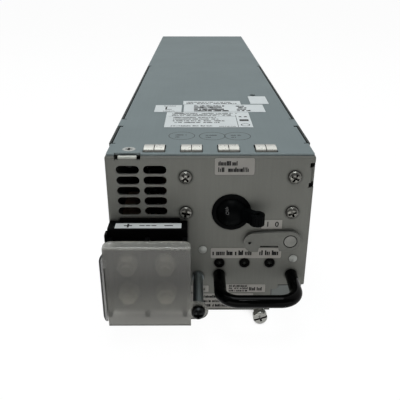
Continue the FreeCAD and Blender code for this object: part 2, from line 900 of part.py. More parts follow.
def mode_switch_slider():
    """Slider at its left stop: a base behind the panel and a grooved knob in the window."""
    x = switch_x - slider_travel / 2
    base_front = sheet + clearance
    slider = block(x - slider_width / 2, x + slider_width / 2,
                   base_front, base_front + slider_thickness,
                   switch_z - slider_height / 2, switch_z + slider_height / 2)
    slider = slider.fuse(block(x - slider_knob_width / 2, x + slider_knob_width / 2,
                               slider_setback, base_front,
                               switch_z - slider_knob_height / 2,
                               switch_z + slider_knob_height / 2))
    grooves = [block(x + step - slider_groove / 2, x + step + slider_groove / 2,
                     slider_setback, slider_setback + slider_groove,
                     switch_z - slider_height / 2, switch_z + slider_height / 2)
               for step in (-2 * slider_groove, 0, 2 * slider_groove)]
    return slider.cut(grooves)


def led_bezels():
    """Black snap-in bezels, one round each lamp."""
    bezels = []
    for x in led_points():
        flange = rod(bezel_radius, x, leds_z, -bezel_proud, 0)
        flange = round_edges(flange, bezel_round, lambda c: c.y < -bezel_proud / 2)
        bezel = flange.fuse(rod(bezel_barrel_radius, x, leds_z, 0, bezel_barrel_length))
        bezels.append(bezel.cut(rod(led_radius + running_gap, x, leds_z,
                                    -bezel_proud, bezel_barrel_length)))
    return Part.makeCompound(bezels)


def leds():
    """Lamps with a domed end, each on two leads that reach the control board."""
    lamps = []
    for x in led_points():
        front = -bezel_proud + led_setback
        dome_centre = front + led_radius
        lamp = rod(led_radius, x, leds_z, dome_centre, front + led_length)
        lamp = lamp.fuse(Part.makeSphere(led_radius, Vector(x, dome_centre, leds_z)))
        for side in (-1, 1):
            lead = x + side * lead_spread / 2
            lamp = lamp.fuse(block(lead - lead_size / 2, lead + lead_size / 2,
                                   front + led_length, switch_back,
                                   leds_z - lead_size / 2, leds_z + lead_size / 2))
        lamps.append(lamp)
    return Part.makeCompound(lamps)


def control_board():
    """Small upright board that carries the lamps and the mode switch."""
    x0 = handle_left - control_board_side - bezel_radius
    return block(x0, x0 + control_board_width, switch_back, switch_back + control_board_thickness,
                 leds_z - control_board_side, switch_z + slider_height / 2)


def handle():
    """U-shaped bar: two legs, two bends and the grip, with blind holes in the legs' ends."""
    r = handle_bar_radius
    bend = handle_bend_radius
    front = -handle_reach
    middle = handle_height
    pieces = [rod(r, x, middle, front + bend, 0) for x in (handle_left, handle_right)]
    pieces.append(Part.makeCylinder(r, handle_span - 2 * bend,
                                    Vector(handle_left + bend, front, middle), Vector(1, 0, 0)))
    for x, side in ((handle_left, 1), (handle_right, -1)):
        ring = Part.Face(Part.Wire(Part.makeCircle(r, Vector(x, front + bend, middle),
                                                   Vector(0, 1, 0))))
        pieces.append(ring.revolve(Vector(x + side * bend, front + bend, middle),
                                   Vector(0, 0, side), 90))
    bar = pieces[0].fuse(pieces[1:]).removeSplitter()
    return bar.cut([rod(handle_screw_radius + running_gap, x, middle, -handle_screw_depth, 0)
                    for x in (handle_left, handle_right)])


def handle_screws():
    """Screws that pull the handle's legs against the panel from behind."""
    screw = pan_screw(handle_screw_head_radius, handle_screw_head_height, handle_screw_radius,
                      handle_screw_depth - clearance, 0)
    screw.rotate(Vector(0, 0, 0), Vector(0, 0, 1), 180)
    return Part.makeCompound([screw.translated(Vector(x, sheet, handle_height))
                              for x in (handle_left, handle_right)])


def captive_screw():
    """Fixing screw that stays in its ferrule: round head with slot and cross, long shank."""
    x, z = captive_x, captive_height
    seat = -ferrule_length - captive_float
    front = seat - captive_head_length
    head = rod(captive_head_radius, x, z, front, seat)
    head = round_edges(head, captive_head_round, lambda c: c.y < seat - captive_head_length / 2)
    wide = captive_slot_width / 2
    deep = front + captive_slot_depth
    reach = captive_head_radius * 0.5
    cross = block(x - captive_head_radius, x + captive_head_radius, front, deep, z - wide, z + wide)
    cross = cross.fuse(block(x - wide, x + wide, front, deep, z - reach, z + reach))
    cross.rotate(Vector(x, 0, z), Vector(0, -1, 0), captive_slot_turn)
    return head.cut(cross).fuse(rod(captive_shank_radius, x, z, seat, captive_tip))


def captive_ferrule():
    """Collar pressed into the panel that carries the captive screw."""
    x, z = captive_x, captive_height
    collar = rod(ferrule_radius, x, z, -ferrule_length, 0)
    collar = collar.fuse([rod(ferrule_flange_radius, x, z, -ferrule_flange, 0),
                          rod(ferrule_tail_radius, x, z, 0, sheet)])
    return collar.cut(rod(captive_shank_radius + running_gap, x, z, -ferrule_length, sheet))


def panel_studs():
    """Two studs pressed through the panel, each with a thin rim and a low dome in front."""
    studs = []
    ball = (stud_dome_radius ** 2 + stud_dome_height ** 2) / (2 * stud_dome_height)
    for x, z in stud_points():
        head = Part.makeSphere(ball, Vector(x, ball - stud_dome_height - stud_rim_height, z))
        head = head.common(rod(stud_dome_radius, x, z, -stud_dome_height - stud_rim_height,
                               -stud_rim_height))
        studs.append(head.fuse([rod(stud_rim_radius, x, z, -stud_rim_height, 0),
                                rod(stud_shank_radius, x, z, 0, sheet + stud_tail_length)]))
    return Part.makeCompound(studs)


def terminal_block():
    """Moulded block: base on the panel, barriers, stud pads, a locating ridge, a side lug, a boss."""
    front = -block_thickness
    base = block(block_left, block_right, front, 0, block_bottom, block_top)
    base = round_edges(base, block_edge_round,
                       lambda c: c.y < front + seat_gap and c.z > block_top - seat_gap)
    pieces = [block(block_left + ridge_inset_left, block_right - ridge_inset_right,
                    -ridge_depth, 0, block_top, block_top + ridge_height)]
    middle = (block_left + block_right) / 2
    for x in (block_left, middle - barrier_thickness / 2, block_right - barrier_thickness):
        pieces.append(block(x, x + barrier_thickness, front - barrier_reach, front,
                            block_bottom + barrier_lift, block_top - barrier_drop))
    pad_low = terminal_pair_height - terminal_spacing / 2 - pad_overhang
    pad_high = terminal_pair_height + terminal_spacing / 2 + pad_overhang
    for x in sorted({x for x, z in terminal_points()}):
        pieces.append(block(x - pad_width / 2, x + pad_width / 2, pad_face, front, pad_low, pad_high))
    lug_top = block_top - lug_drop
    lug = block(block_left - lug_reach, block_left, -lug_back - lug_length, -lug_back,
                lug_top - lug_height, lug_top)
    pieces.append(round_edges(lug, lug_reach / 2, lambda c: c.x < block_left - lug_reach / 2))
    pieces.append(block(block_left + boss_inset, block_right - boss_inset, 0, bar_front,
                        block_bottom + boss_lift, block_top - boss_drop))
    moulding = base.fuse(pieces).removeSplitter()
    return moulding.cut([rod(terminal_radius + running_gap, x, z, pad_face, bar_front)
                         for x, z in terminal_points()])


def terminal_studs():
    """Input studs, right through the block and the copper bars behind it."""
    return Part.makeCompound([rod(terminal_radius, x, z, pad_face - terminal_reach,
                                  bar_front + terminal_tail) for x, z in terminal_points()])


def terminal_washers():
    """Flat washers on the block's pads."""
    front = pad_face - washer_thickness
    washers = []
    for x, z in terminal_points():
        washer = rod(washer_radius, x, z, front, pad_face)
        washers.append(washer.cut(rod(terminal_radius + running_gap, x, z, front, pad_face)))
    return Part.makeCompound(washers)


def terminal_nuts():
    """Nuts in front of the washers, and behind the copper bars."""
    seat = pad_face - washer_thickness
    bar_back = bar_front + bar_thickness
    nuts = []
    for x, z in terminal_points():
        hole = terminal_radius + running_gap
        nuts.append(hex_nut(nut_flats, hole, x, z, seat - nut_height, seat))
        nuts.append(hex_nut(nut_flats, hole, x, z, bar_back, bar_back + nut_height))
    return Part.makeCompound(nuts)


def terminal_cover():
    """Folded frosted guard: front sheet, top flange, bulging side flap and a screw ear."""
    front = -cover_reach
    back = front + film
    x0 = block_left + cover_left_offset
    x1 = block_right + cover_right_offset
    shell = block(x0, x1, front, front + cover_flange, cover_bottom, cover_top)
    shell = round_edges(shell, cover_fold_radius,
                        lambda c: c.y < front + running_gap and c.z > cover_top - running_gap)
    hollow = block(x0 - film, x1 + film, back, 0, 0, cover_top - film)
    shell = shell.cut(hollow)
    rear = front + cover_flange
    shell = round_edges(shell, cover_corner_radius,
                        lambda c: c.y > rear - running_gap and abs(c.z - cover_top + film / 2) < film / 4
                        and abs(c.x - (x0 + x1) / 2) > (x1 - x0) / 4)
    ear = face_of(Vector(x1 - film, front, ear_height + ear_radius), [
        Vector(standoff_x, front, ear_height + ear_radius),
        (Vector(standoff_x + ear_radius, front, ear_height),
         Vector(standoff_x, front, ear_height - ear_radius)),
        Vector(x1 - film, front, ear_height - ear_radius),
        Vector(x1 - film, front, ear_height + ear_radius)])
    ear = ear.extrude(Vector(0, film, 0))
    end = -flap_end
    outer_end = block_left - running_gap - film
    bulge_x = x0 - flap_bulge - film
    bulge_y = (front + end) / 2
    curve = face_of(Vector(x0, front, flap_bottom), [
        (Vector(bulge_x, bulge_y, flap_bottom), Vector(outer_end, end, flap_bottom)),
        Vector(outer_end + film, end, flap_bottom),
        (Vector(bulge_x + film, bulge_y, flap_bottom), Vector(x0 + film, back, flap_bottom)),
        Vector(x0 + film, front, flap_bottom),
        Vector(x0, front, flap_bottom)])
    flap = curve.extrude(Vector(0, 0, flap_top - flap_bottom))
    far = bulge_x - film
    r = flap_corner_radius
    mid = r * (1 - math.sqrt(0.5))
    outline = face_of(Vector(far, front, flap_top), [
        Vector(far, front + flap_shoulder_run, flap_shoulder),
        Vector(far, end, flap_shoulder),
        Vector(far, end, flap_bottom + r),
        (Vector(far, end - mid, flap_bottom + mid), Vector(far, end - r, flap_bottom)),
        Vector(far, front + r, flap_bottom),
        (Vector(far, front + mid, flap_bottom + mid), Vector(far, front, flap_bottom + r)),
        Vector(far, front, flap_top)])
    flap = flap.common(outline.extrude(Vector(x0 + 2 * film - far, 0, 0)))
    guard = shell.fuse([ear, flap]).removeSplitter()
    return guard.cut([block(x0, x0 + flap_slit, front, back, 0, flap_slit_top),
                      block(x0, x0 + film, back, end, 0, flap_slit_top),
                      rod(cover_screw_radius + clearance, standoff_x, ear_height, front, back)])


def cover_standoff():
    """Round pillar that holds the cover's ear away from the panel."""
    front = film - cover_reach
    tail = sheet + standoff_tail
    pillar = rod(standoff_radius, standoff_x, ear_height, front, 0)
    pillar = pillar.fuse([
        rod(standoff_base_radius, standoff_x, ear_height, -standoff_base, 0),
        rod(standoff_tail_radius, standoff_x, ear_height, 0, sheet),
        rod(standoff_radius, standoff_x, ear_height, sheet, tail)])
    return pillar.cut(rod(cover_screw_radius + running_gap, standoff_x, ear_height,
                          front, front + standoff_bore))


def cover_screw():
    """Pan-head screw through the cover's ear into the standoff."""
    screw = pan_screw(cover_screw_head_radius, cover_screw_head_height, cover_screw_radius,
                      cover_screw_length, -cover_reach)
    return screw.translated(Vector(standoff_x, 0, ear_height))


def return_bus_bar():
    """Copper strap from the left pair of studs, up, back over the board and down to it."""
    points = terminal_points()
    x0 = points[0][0] - bar_width / 2
    x1 = x0 + bar_width
    low = points[0][1] - bar_width / 2
    top = block_top + return_bar_rise
    bar = block(x0, x1, bar_front, bar_front + bar_thickness, low, top)
    bar = bar.fuse([
        block(x0, x1, bar_front, return_bar_back, top - bar_thickness, top),
        block(x0, x1, return_bar_back - bar_thickness, return_bar_back, board_top, top),
        block(x0, x1, return_bar_back, return_bar_back + bar_foot,
              board_top, board_top + bar_thickness)])
    bar = bar.removeSplitter()
    return bar.cut([rod(terminal_radius + running_gap, x, z, 0, bar_front + bar_thickness)
                    for x, z in points[:2]])


def line_bus_bar():
    """Copper strap from the right pair of studs, back under the breaker and up to its line studs."""
    points = terminal_points()
    studs = breaker_stud_points()[:2]
    x0 = points[2][0] - bar_width / 2
    x1 = x0 + bar_width
    low = points[2][1] - bar_width / 2
    back = breaker_back + bar_thickness
    bar = block(x0, x1, bar_front, bar_front + bar_thickness, low, line_bar_top)
    bar = bar.fuse([
        block(x0, x1, bar_front, back, line_bar_top - bar_thickness, line_bar_top),
        block(x0, studs[0][0] + bar_width / 2, breaker_back, back,
              line_bar_top - bar_thickness, studs[0][1]),
        block(studs[0][0] - bar_width / 2, studs[0][0] + bar_width / 2, breaker_back, back,
              line_bar_top - bar_thickness, studs[1][1] + bar_width / 2)])
    bar = bar.removeSplitter()
    cuts = [rod(terminal_radius + running_gap, x, z, 0, bar_front + bar_thickness)
            for x, z in points[2:]]
    cuts += [rod(breaker_stud_radius + running_gap, x, z, breaker_back, back) for x, z in studs]
    return bar.cut(cuts)


def load_bus_bar():
    """Copper strap from the breaker's load studs down to the board."""
    studs = breaker_stud_points()[2:]
    x0 = studs[0][0] - bar_width / 2
    x1 = x0 + bar_width
    back = breaker_back + bar_thickness
    bar = block(x0, x1, breaker_back, back, board_top, studs[1][1] + bar_width / 2)
    bar = bar.fuse(block(x0, x1, back, back + bar_foot, board_top, board_top + bar_thickness))
    bar = bar.removeSplitter()
    return bar.cut([rod(breaker_stud_radius + running_gap, x, z, breaker_back, back)
                    for x, z in studs])


def board_standoff_points():
    """Fixing places of the main board: its corners and a pair behind the heat sinks."""
    reach = tongue_inner - board_side - board_standoff_inset
    first = board_front + board_standoff_inset
    last = board_end - board_standoff_inset
    return [(x, y) for x in (-reach, reach) for y in (first, board_middle, last)]


def main_board():
    """Main circuit board."""
    reach = tongue_inner - board_side
    board = block(-reach, reach, board_front, board_end, board_bottom, board_top)
    return board.cut([post(board_screw_radius + clearance, x, y, board_bottom, board_top)
                      for x, y in board_standoff_points()])


def board_standoffs():
    """Pillars between the tray's floor and the main board."""
    pillars = []
    for x, y in board_standoff_points():
        pillar = post(board_standoff_radius, x, y, sheet, board_bottom)
        pillars.append(pillar.cut(post(board_screw_radius + running_gap, x, y,
                                       sheet, board_bottom)))
    return Part.makeCompound(pillars)


def board_screws():
    """Screws that hold the main board to its pillars."""
    screw = pan_screw(board_screw_head_radius, board_screw_head_height, board_screw_radius,
                      board_screw_length, 0)
    screw.rotate(Vector(0, 0, 0), Vector(1, 0, 0), -90)
    return Part.makeCompound([screw.translated(Vector(x, y, board_top))
                              for x, y in board_standoff_points()])


def choke_core():
    """Ring core of the input choke, lying level inside its winding."""
    low = board_top + turn_thickness + running_gap
    ring = post(choke_outer_radius, choke_x, choke_back, low, low + choke_height)
    return ring.cut(post(choke_inner_radius, choke_x, choke_back, low, low + choke_height))


def choke_winding():
    """Turns of flat copper round the core's section, evenly spread and resting on the board."""
    low = board_top
    high = low + choke_height + 2 * (turn_thickness + running_gap)
    inner = math.sqrt(choke_inner_radius ** 2 - (turn_width / 2) ** 2) - running_gap
    outer = choke_outer_radius + running_gap
    turn = block(inner - turn_thickness, outer + turn_thickness, -turn_width / 2, turn_width / 2,
                 low, high)
    turn = turn.cut(block(inner, outer, -turn_width / 2, turn_width / 2,
                          low + turn_thickness, high - turn_thickness))
    turns = []
    for step in range(choke_turns):
        copy = turn.copy()
        copy.rotate(Vector(0, 0, 0), Vector(0, 0, 1), 360 * step / choke_turns)
        turns.append(copy.translated(Vector(choke_x, choke_back, 0)))
    return Part.makeCompound(turns)


def heat_sink(side):
    """Extruded comb: an upright base with level fins that point to the case's side."""
    tall = (sink_fins - 1) * sink_fin_pitch + sink_fin_thickness
    near = sink_gap
    far = near + sink_base + sink_fin_length
    comb = slab(side, near, near + sink_base, front_room, sink_end,
                board_top, board_top + tall)
    fins = [slab(side, near + sink_base, far, front_room, sink_end,
                 board_top + step * sink_fin_pitch,
                 board_top + step * sink_fin_pitch + sink_fin_thickness)
            for step in range(sink_fins)]
    return comb.fuse(fins).removeSplitter()


def left_heat_sink():
    """Heat sink on the left of the board."""
    return heat_sink(-1)


def right_heat_sink():
    """Heat sink on the right of the board."""
    return heat_sink(1)


def transformer_core():
    """Closed core with two windows and a middle limb."""
    core = block(-core_depth / 2, core_depth / 2, core_start, core_end,
                 board_top, board_top + core_height)
    windows = [block(-core_depth, core_depth, start, start + core_window,
                     board_top + core_limb, board_top + core_height - core_limb)
               for start in (core_start + core_limb,
                             core_end - core_limb - core_window)]
    return core.cut(windows)


def transformer_winding():
    """Coil round the middle limb, filling the windows."""
    first = core_start + core_limb + core_window
    last = core_end - core_limb - core_window
    low = board_top + core_limb + coil_end_gap
    high = board_top + core_height - core_limb - coil_end_gap
    coil = block(-core_depth / 2 - coil_wall, core_depth / 2 + coil_wall,
                 first - coil_wall, last + coil_wall, low, high)
    return coil.cut(block(-core_depth / 2 - clearance, core_depth / 2 + clearance,
                          first - clearance, last + clearance, low, high))


def filter_capacitors():
    """Upright capacitor cans near the rear of the board."""
    cans = []
    for x in (-can_pitch / 2, can_pitch / 2):
        for y in (first_can, last_can):
            can = post(can_radius, x, y, board_top, board_top + can_height)
            cans.append(round_edges(can, can_edge_round, lambda c: c.z > board_top + can_height / 2))
    return Part.makeCompound(cans)


def output_plug():
    """Rear plug housing that stands on the board's end and passes through the rear panel."""
    body = block(-plug_width / 2, plug_width / 2, case_depth - plug_inside, case_depth + plug_proud,
                 board_top, board_top + plug_height)
    middle = board_top + plug_height / 2
    pockets = [block(x - blade_thickness / 2 - running_gap, x + blade_thickness / 2 + running_gap,
                     case_depth - blade_inside, case_depth + plug_proud,
                     middle - blade_height / 2 - running_gap,
                     middle + blade_height / 2 + running_gap) for x in blade_points()]
    return body.cut(pockets)


def blade_points():
    """Places of the contact blades across the plug."""
    first = -blade_pitch * (blade_count - 1) / 2
    return [first + step * blade_pitch for step in range(blade_count)]


def output_blades():
    """Contact blades that stand out of the plug."""
    middle = board_top + plug_height / 2
    return Part.makeCompound([block(x - blade_thickness / 2, x + blade_thickness / 2,
                                    case_depth - blade_inside,
                                    case_depth + plug_proud + blade_proud,
                                    middle - blade_height / 2, middle + blade_height / 2)
                              for x in blade_points()])


pieces = [front_panel, chassis_tray, top_cover, rear_panel, emi_fingers, lid_screw,
          breaker_body, breaker_toggle, breaker_screws, breaker_studs, breaker_nuts,
          switch_cover_plate, plate_pivot, mode_switch_body, mode_switch_slider,
          led_bezels, leds, control_board, handle, handle_screws, captive_screw, captive_ferrule,
          panel_studs, terminal_block, terminal_studs, terminal_washers, terminal_nuts,
          terminal_cover, cover_standoff, cover_screw, return_bus_bar, line_bus_bar, load_bus_bar,
          main_board, board_standoffs, board_screws, choke_core, choke_winding,
          left_heat_sink, right_heat_sink, transformer_core, transformer_winding,
          filter_capacitors, output_plug, output_blades]

os.makedirs("parts", exist_ok=True)
to_base_centre = Vector(0, -case_depth / 2, 0)
for piece in pieces:
    piece().translated(to_base_centre).exportStep("parts/" + piece.__name__ + ".step")
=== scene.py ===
"""Looks of a router's plug-in power supply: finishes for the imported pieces, stuck-on labels with plain
printed strokes, screw threads, and a white studio with the camera where the photograph was taken.

Metres throughout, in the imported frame: X to the right, Y into the case, Z up. Sizes and places on the
part's faces are written in millimetres and turned into metres by MM.
"""
import math

import bpy
import numpy as np
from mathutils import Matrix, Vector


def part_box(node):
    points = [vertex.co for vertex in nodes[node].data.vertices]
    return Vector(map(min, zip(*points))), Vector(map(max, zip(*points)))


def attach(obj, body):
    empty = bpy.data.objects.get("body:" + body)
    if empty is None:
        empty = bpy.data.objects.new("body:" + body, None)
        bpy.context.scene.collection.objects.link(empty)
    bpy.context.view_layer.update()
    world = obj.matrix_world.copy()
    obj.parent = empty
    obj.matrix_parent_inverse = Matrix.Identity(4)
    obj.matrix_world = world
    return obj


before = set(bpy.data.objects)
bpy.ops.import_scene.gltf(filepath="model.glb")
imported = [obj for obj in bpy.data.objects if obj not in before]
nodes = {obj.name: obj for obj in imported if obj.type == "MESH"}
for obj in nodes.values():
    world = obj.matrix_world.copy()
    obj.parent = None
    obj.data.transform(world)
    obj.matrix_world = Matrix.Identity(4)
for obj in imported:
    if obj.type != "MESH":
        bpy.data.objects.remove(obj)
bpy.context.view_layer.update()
MM = 0.001

# The three faces that carry labels: a corner point, the directions across and up, and outwards
BLOCK_TOP = 54.5
front_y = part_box("front_panel")[0].y
lid_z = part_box("top_cover")[1].z
block_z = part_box("front_panel")[0].z + BLOCK_TOP * MM
ACROSS = np.array([1.0, 0.0, 0.0])
INWARD = np.array([0.0, 1.0, 0.0])
UP = np.array([0.0, 0.0, 1.0])
FACES = {
    "front": (np.array([0.0, front_y, 0.0]), ACROSS, UP, -INWARD),
    "lid": (np.array([0.0, front_y, lid_z]), ACROSS, INWARD, UP),
    "block": (np.array([0.0, front_y, block_z]), ACROSS, INWARD, UP),
}


def from_front(x, y, z):
    """Place given in millimetres across, behind the front face and up."""
    return (x * MM, front_y + y * MM, z * MM)


# Boxes of painted shade and painted light, as two corners and the tone: painted shade on the guard's side
# flap, seen along the sheet, painted light on its top and a painted highlight on its fold; painted shade
# on the lid screw's shank under the lid, on the front ends of the springs and on the upper edges of the
# side lips; a painted highlight on the tab in the upper window, and painted shade on the cut edges beside
# the tab of the side window
FAR = 1.0
guard_low, guard_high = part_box("terminal_cover")
fold_y = guard_low.y + 1.0 * MM
GUARD_FLAP = ((guard_low.x - 1 * MM, -FAR, -FAR), (guard_low.x + 2.4 * MM, FAR, FAR))
GUARD_PAINTED_SHADE_AND_LIGHT = [
    (*GUARD_FLAP, 0.1),
    ((-FAR, fold_y, guard_high.z - 1.2 * MM), (FAR, FAR, FAR), 2.6),
    ((-FAR, -FAR, guard_high.z - 0.9 * MM), (FAR, fold_y, FAR), 3.2),
]
LID_SCREW_SHANK_SHADE = [(from_front(-60, 0, 70), from_front(60, 60, 88), 0.04)]
FINGER_END_SHADE = [(from_front(-60, 2.5, 80), from_front(60, 3.9, 92), 0.3)]
LIP_EDGE_SHADE = [(from_front(-60, -5, 89.4), from_front(60, 480, 91), 0.3)]
PANEL_PAINTED_SHADE_AND_LIGHT = [
    (from_front(-44.6, -0.2, 87.75), from_front(-35.2, 1.4, 89.3), 2.6),
    (from_front(49.6, 1.9, 82.8), from_front(51.2, 2.1, 85.6), 0.06),
    (from_front(49.6, 1.9, 72.3), from_front(51.2, 2.1, 75.1), 0.06),
]

# Tones that change along an axis, as the axis, two places and the tone at each: painted light on the
# guard's lower part, where light from the table gathers in the sheet, falling back towards its lower edge,
# and a painted reflection on the springs, darker at the root and lighter at the crest
GUARD_GLOW = [("Z", 38 * MM, 24 * MM, 1.0, 1.75), ("Z", 23 * MM, 18 * MM, 1.0, 0.57)]
FINGER_PAINTED_REFLECTION = [("Y", front_y + 13 * MM, front_y + 6 * MM, 0.35, 1.0)]

# Patterns: noise scales and stretch per metre, and the sheet's grain as a share of its tone
CLOUD_SCALE = 28.0
SHEET_GRAIN_SCALE = 2600.0
SHEET_GRAIN = 0.04
BLOTCH_SCALE = 90.0
GRIME_SCALE = 420.0
SCRATCH_STRETCH = (4000.0, 700.0, 300.0)

# Noise: most values lie between low and high, and spread times the distance from the middle is a number
# mostly between minus one and one
NOISE_LOW = 0.3
NOISE_HIGH = 0.7
NOISE_MIDDLE = 0.5
NOISE_SPREAD = 4.0

# Rays for each look at how much of the sky is open
SKY_SAMPLES = 16

# Stretch factors for streaks in sheet: along the case, and up the front
ALONG = (1400.0, 14.0, 1400.0)
UPRIGHT = (1100.0, 1100.0, 22.0)

# Bump, as strength and distance in millimetres, and painted shade in corners, as reach in millimetres and
# depth
SHEET_BUMP = (0.12, 0.05)
PLASTIC_BUMP = (0.25, 0.05)
METAL_BUMP = (0.1, 0.03)
FROST_BUMP = (0.03, 0.02)
SHEET_CORNER_SHADE = (1.3, 0.75)
METAL_CORNER_SHADE_REACH = 1.4

# Guard: clear coat off the flap, roughness added on the flap, and what shadow rays keep
GUARD_COAT = 0.3
FLAP_FROST = 0.5
GUARD_SHADOW = (0.7, 0.7, 0.68, 1.0)

# Solids: points nearer than this are joined, and edges under this angle are shaded smooth
JOIN_DISTANCE = 2e-6
SMOOTH_ANGLE = math.radians(32)


def smooth_by_angle():
    """Geometry node group that joins a solid's loose triangles and shades every edge under the smooth
    angle smooth, so that rods and bends look round while flat faces stay crisp."""
    group = bpy.data.node_groups.new("smooth_by_angle", "GeometryNodeTree")
    group.interface.new_socket("Mesh", in_out="INPUT", socket_type="NodeSocketGeometry")
    group.interface.new_socket("Mesh", in_out="OUTPUT", socket_type="NodeSocketGeometry")
    entry = group.nodes.new("NodeGroupInput")
    leave = group.nodes.new("NodeGroupOutput")
    merge = group.nodes.new("GeometryNodeMergeByDistance")
    merge.inputs["Distance"].default_value = JOIN_DISTANCE
    angle = group.nodes.new("GeometryNodeInputMeshEdgeAngle")
    limit = group.nodes.new("FunctionNodeCompare")
    limit.operation = "LESS_EQUAL"
    limit.inputs["B"].default_value = SMOOTH_ANGLE
    edges = group.nodes.new("GeometryNodeSetShadeSmooth")
    edges.domain = "EDGE"
    faces = group.nodes.new("GeometryNodeSetShadeSmooth")
    faces.domain = "FACE"
    link = group.links.new
    link(entry.outputs["Mesh"], merge.inputs["Geometry"])
    link(merge.outputs["Geometry"], edges.inputs["Geometry"])
    link(angle.outputs["Unsigned Angle"], limit.inputs["A"])
    link(limit.outputs["Result"], edges.inputs["Shade Smooth"])
    link(edges.outputs["Geometry"], faces.inputs["Geometry"])
    link(faces.outputs["Geometry"], leave.inputs["Mesh"])
    return group


def shader_group(name, inputs, outputs):
    """Empty shader node group with named sockets, given as (name, kind, starting value)."""
    group = bpy.data.node_groups.new(name, "ShaderNodeTree")
    for label_text, kind, start in inputs:
        socket = group.interface.new_socket(label_text, in_out="INPUT", socket_type=kind)
        if start is not None:
            socket.default_value = start
    for label_text, kind in outputs:
        group.interface.new_socket(label_text, in_out="OUTPUT", socket_type=kind)
    entry = group.nodes.new("NodeGroupInput")
    leave = group.nodes.new("NodeGroupOutput")
    return group, entry, leave


def feed(tree, value, socket):
    """Sets a socket to a number, or links it to another socket."""
    if isinstance(value, (int, float)):
        socket.default_value = value
    else:
        tree.links.new(value, socket)


def noise(tree, vector, scale, detail=3.0, roughness=0.55):
    """Noise texture on a vector; returns its value."""
    node = tree.nodes.new("ShaderNodeTexNoise")
    node.inputs["Scale"].default_value = scale
    node.inputs["Detail"].default_value = detail
    node.inputs["Roughness"].default_value = roughness
    tree.links.new(vector, node.inputs["Vector"])
    return node.outputs["Fac"]


def arithmetic(tree, operation, first, second):
    """Math node on two values; either may be a number."""
    node = tree.nodes.new("ShaderNodeMath")
    node.operation = operation
    for socket, value in zip(node.inputs, (first, second)):
        feed(tree, value, socket)
    return node.outputs["Value"]


def largest(tree, *values):
    """The largest of several values."""
    result = values[0]
    for value in values[1:]:
        result = arithmetic(tree, "MAXIMUM", result, value)
    return result


def remap(tree, value, start, end, first, last, interpolation="LINEAR"):
    """Value between start and end turned into one between first and last; each is a number or a
    socket."""
    node = tree.nodes.new("ShaderNodeMapRange")
    node.interpolation_type = interpolation
    bounds = (("From Min", start), ("From Max", end), ("To Min", first), ("To Max", last))
    for label_text, bound in bounds:
        feed(tree, bound, node.inputs[label_text])
    tree.links.new(value, node.inputs["Value"])
    return node.outputs["Result"]


def spread(tree, value, low, high):
    """Noise value stretched to a range; low and high are numbers or sockets."""
    return remap(tree, value, NOISE_LOW, NOISE_HIGH, low, high)


def swing(tree, value, amount):
    """Noise value as a change to either side of zero, about as large as the amount."""
    centred = arithmetic(tree, "SUBTRACT", value, NOISE_MIDDLE)
    return arithmetic(tree, "MULTIPLY", centred, arithmetic(tree, "MULTIPLY", amount, NOISE_SPREAD))


def vector_math(tree, operation, vector, constant=None):
    """Vector math node on a vector and, where the operation takes one, a constant vector."""
    node = tree.nodes.new("ShaderNodeVectorMath")
    node.operation = operation
    tree.links.new(vector, node.inputs[0])
    if constant is not None:
        node.inputs[1].default_value = constant
    return node.outputs["Vector"]


def coordinates(tree, vector):
    """The X, Y and Z sockets of a vector."""
    node = tree.nodes.new("ShaderNodeSeparateXYZ")
    tree.links.new(vector, node.inputs["Vector"])
    return node.outputs


def tint(tree, colour, factor):
    """Colour times a grey factor."""
    node = tree.nodes.new("ShaderNodeVectorMath")
    node.operation = "SCALE"
    tree.links.new(colour, node.inputs[0])
    tree.links.new(factor, node.inputs["Scale"])
    return node.outputs["Vector"]


FINISH_OUTPUTS = [("Colour", "NodeSocketColor"), ("Roughness", "NodeSocketFloat"),
                  ("Height", "NodeSocketFloat")]


def rolled_sheet_group():
    """Zinc-coated rolled sheet: cloudy patches, fine streaks along the rolling direction, and a matt
    grain. The streak vector comes already drawn out along the streaks."""
    group, entry, leave = shader_group(
        "rolled_sheet",
        [("Vector", "NodeSocketVector", None), ("Streak Vector", "NodeSocketVector", None),
         ("Colour", "NodeSocketColor", None), ("Clouds", "NodeSocketFloat", 0.06),
         ("Streaks", "NodeSocketFloat", 0.05), ("Roughness", "NodeSocketFloat", 0.5)],
        FINISH_OUTPUTS)
    vector = entry.outputs["Vector"]
    clouds = noise(group, vector, CLOUD_SCALE, detail=4.0)
    streaks = noise(group, entry.outputs["Streak Vector"], 1.0, detail=4.0, roughness=0.7)
    grain = noise(group, vector, SHEET_GRAIN_SCALE, detail=2.0)
    cloud_swing = swing(group, clouds, entry.outputs["Clouds"])
    streak_swing = swing(group, streaks, entry.outputs["Streaks"])
    both = arithmetic(group, "ADD", cloud_swing, streak_swing)
    change = arithmetic(group, "ADD", both, swing(group, grain, SHEET_GRAIN))
    roughness_change = arithmetic(group, "MULTIPLY", streak_swing, 0.5)
    link = group.links.new
    link(tint(group, entry.outputs["Colour"], arithmetic(group, "ADD", change, 1.0)),
         leave.inputs["Colour"])
    link(arithmetic(group, "ADD", entry.outputs["Roughness"], roughness_change),
         leave.inputs["Roughness"])
    link(arithmetic(group, "ADD", grain, arithmetic(group, "MULTIPLY", streaks, 0.4)),
         leave.inputs["Height"])
    return group


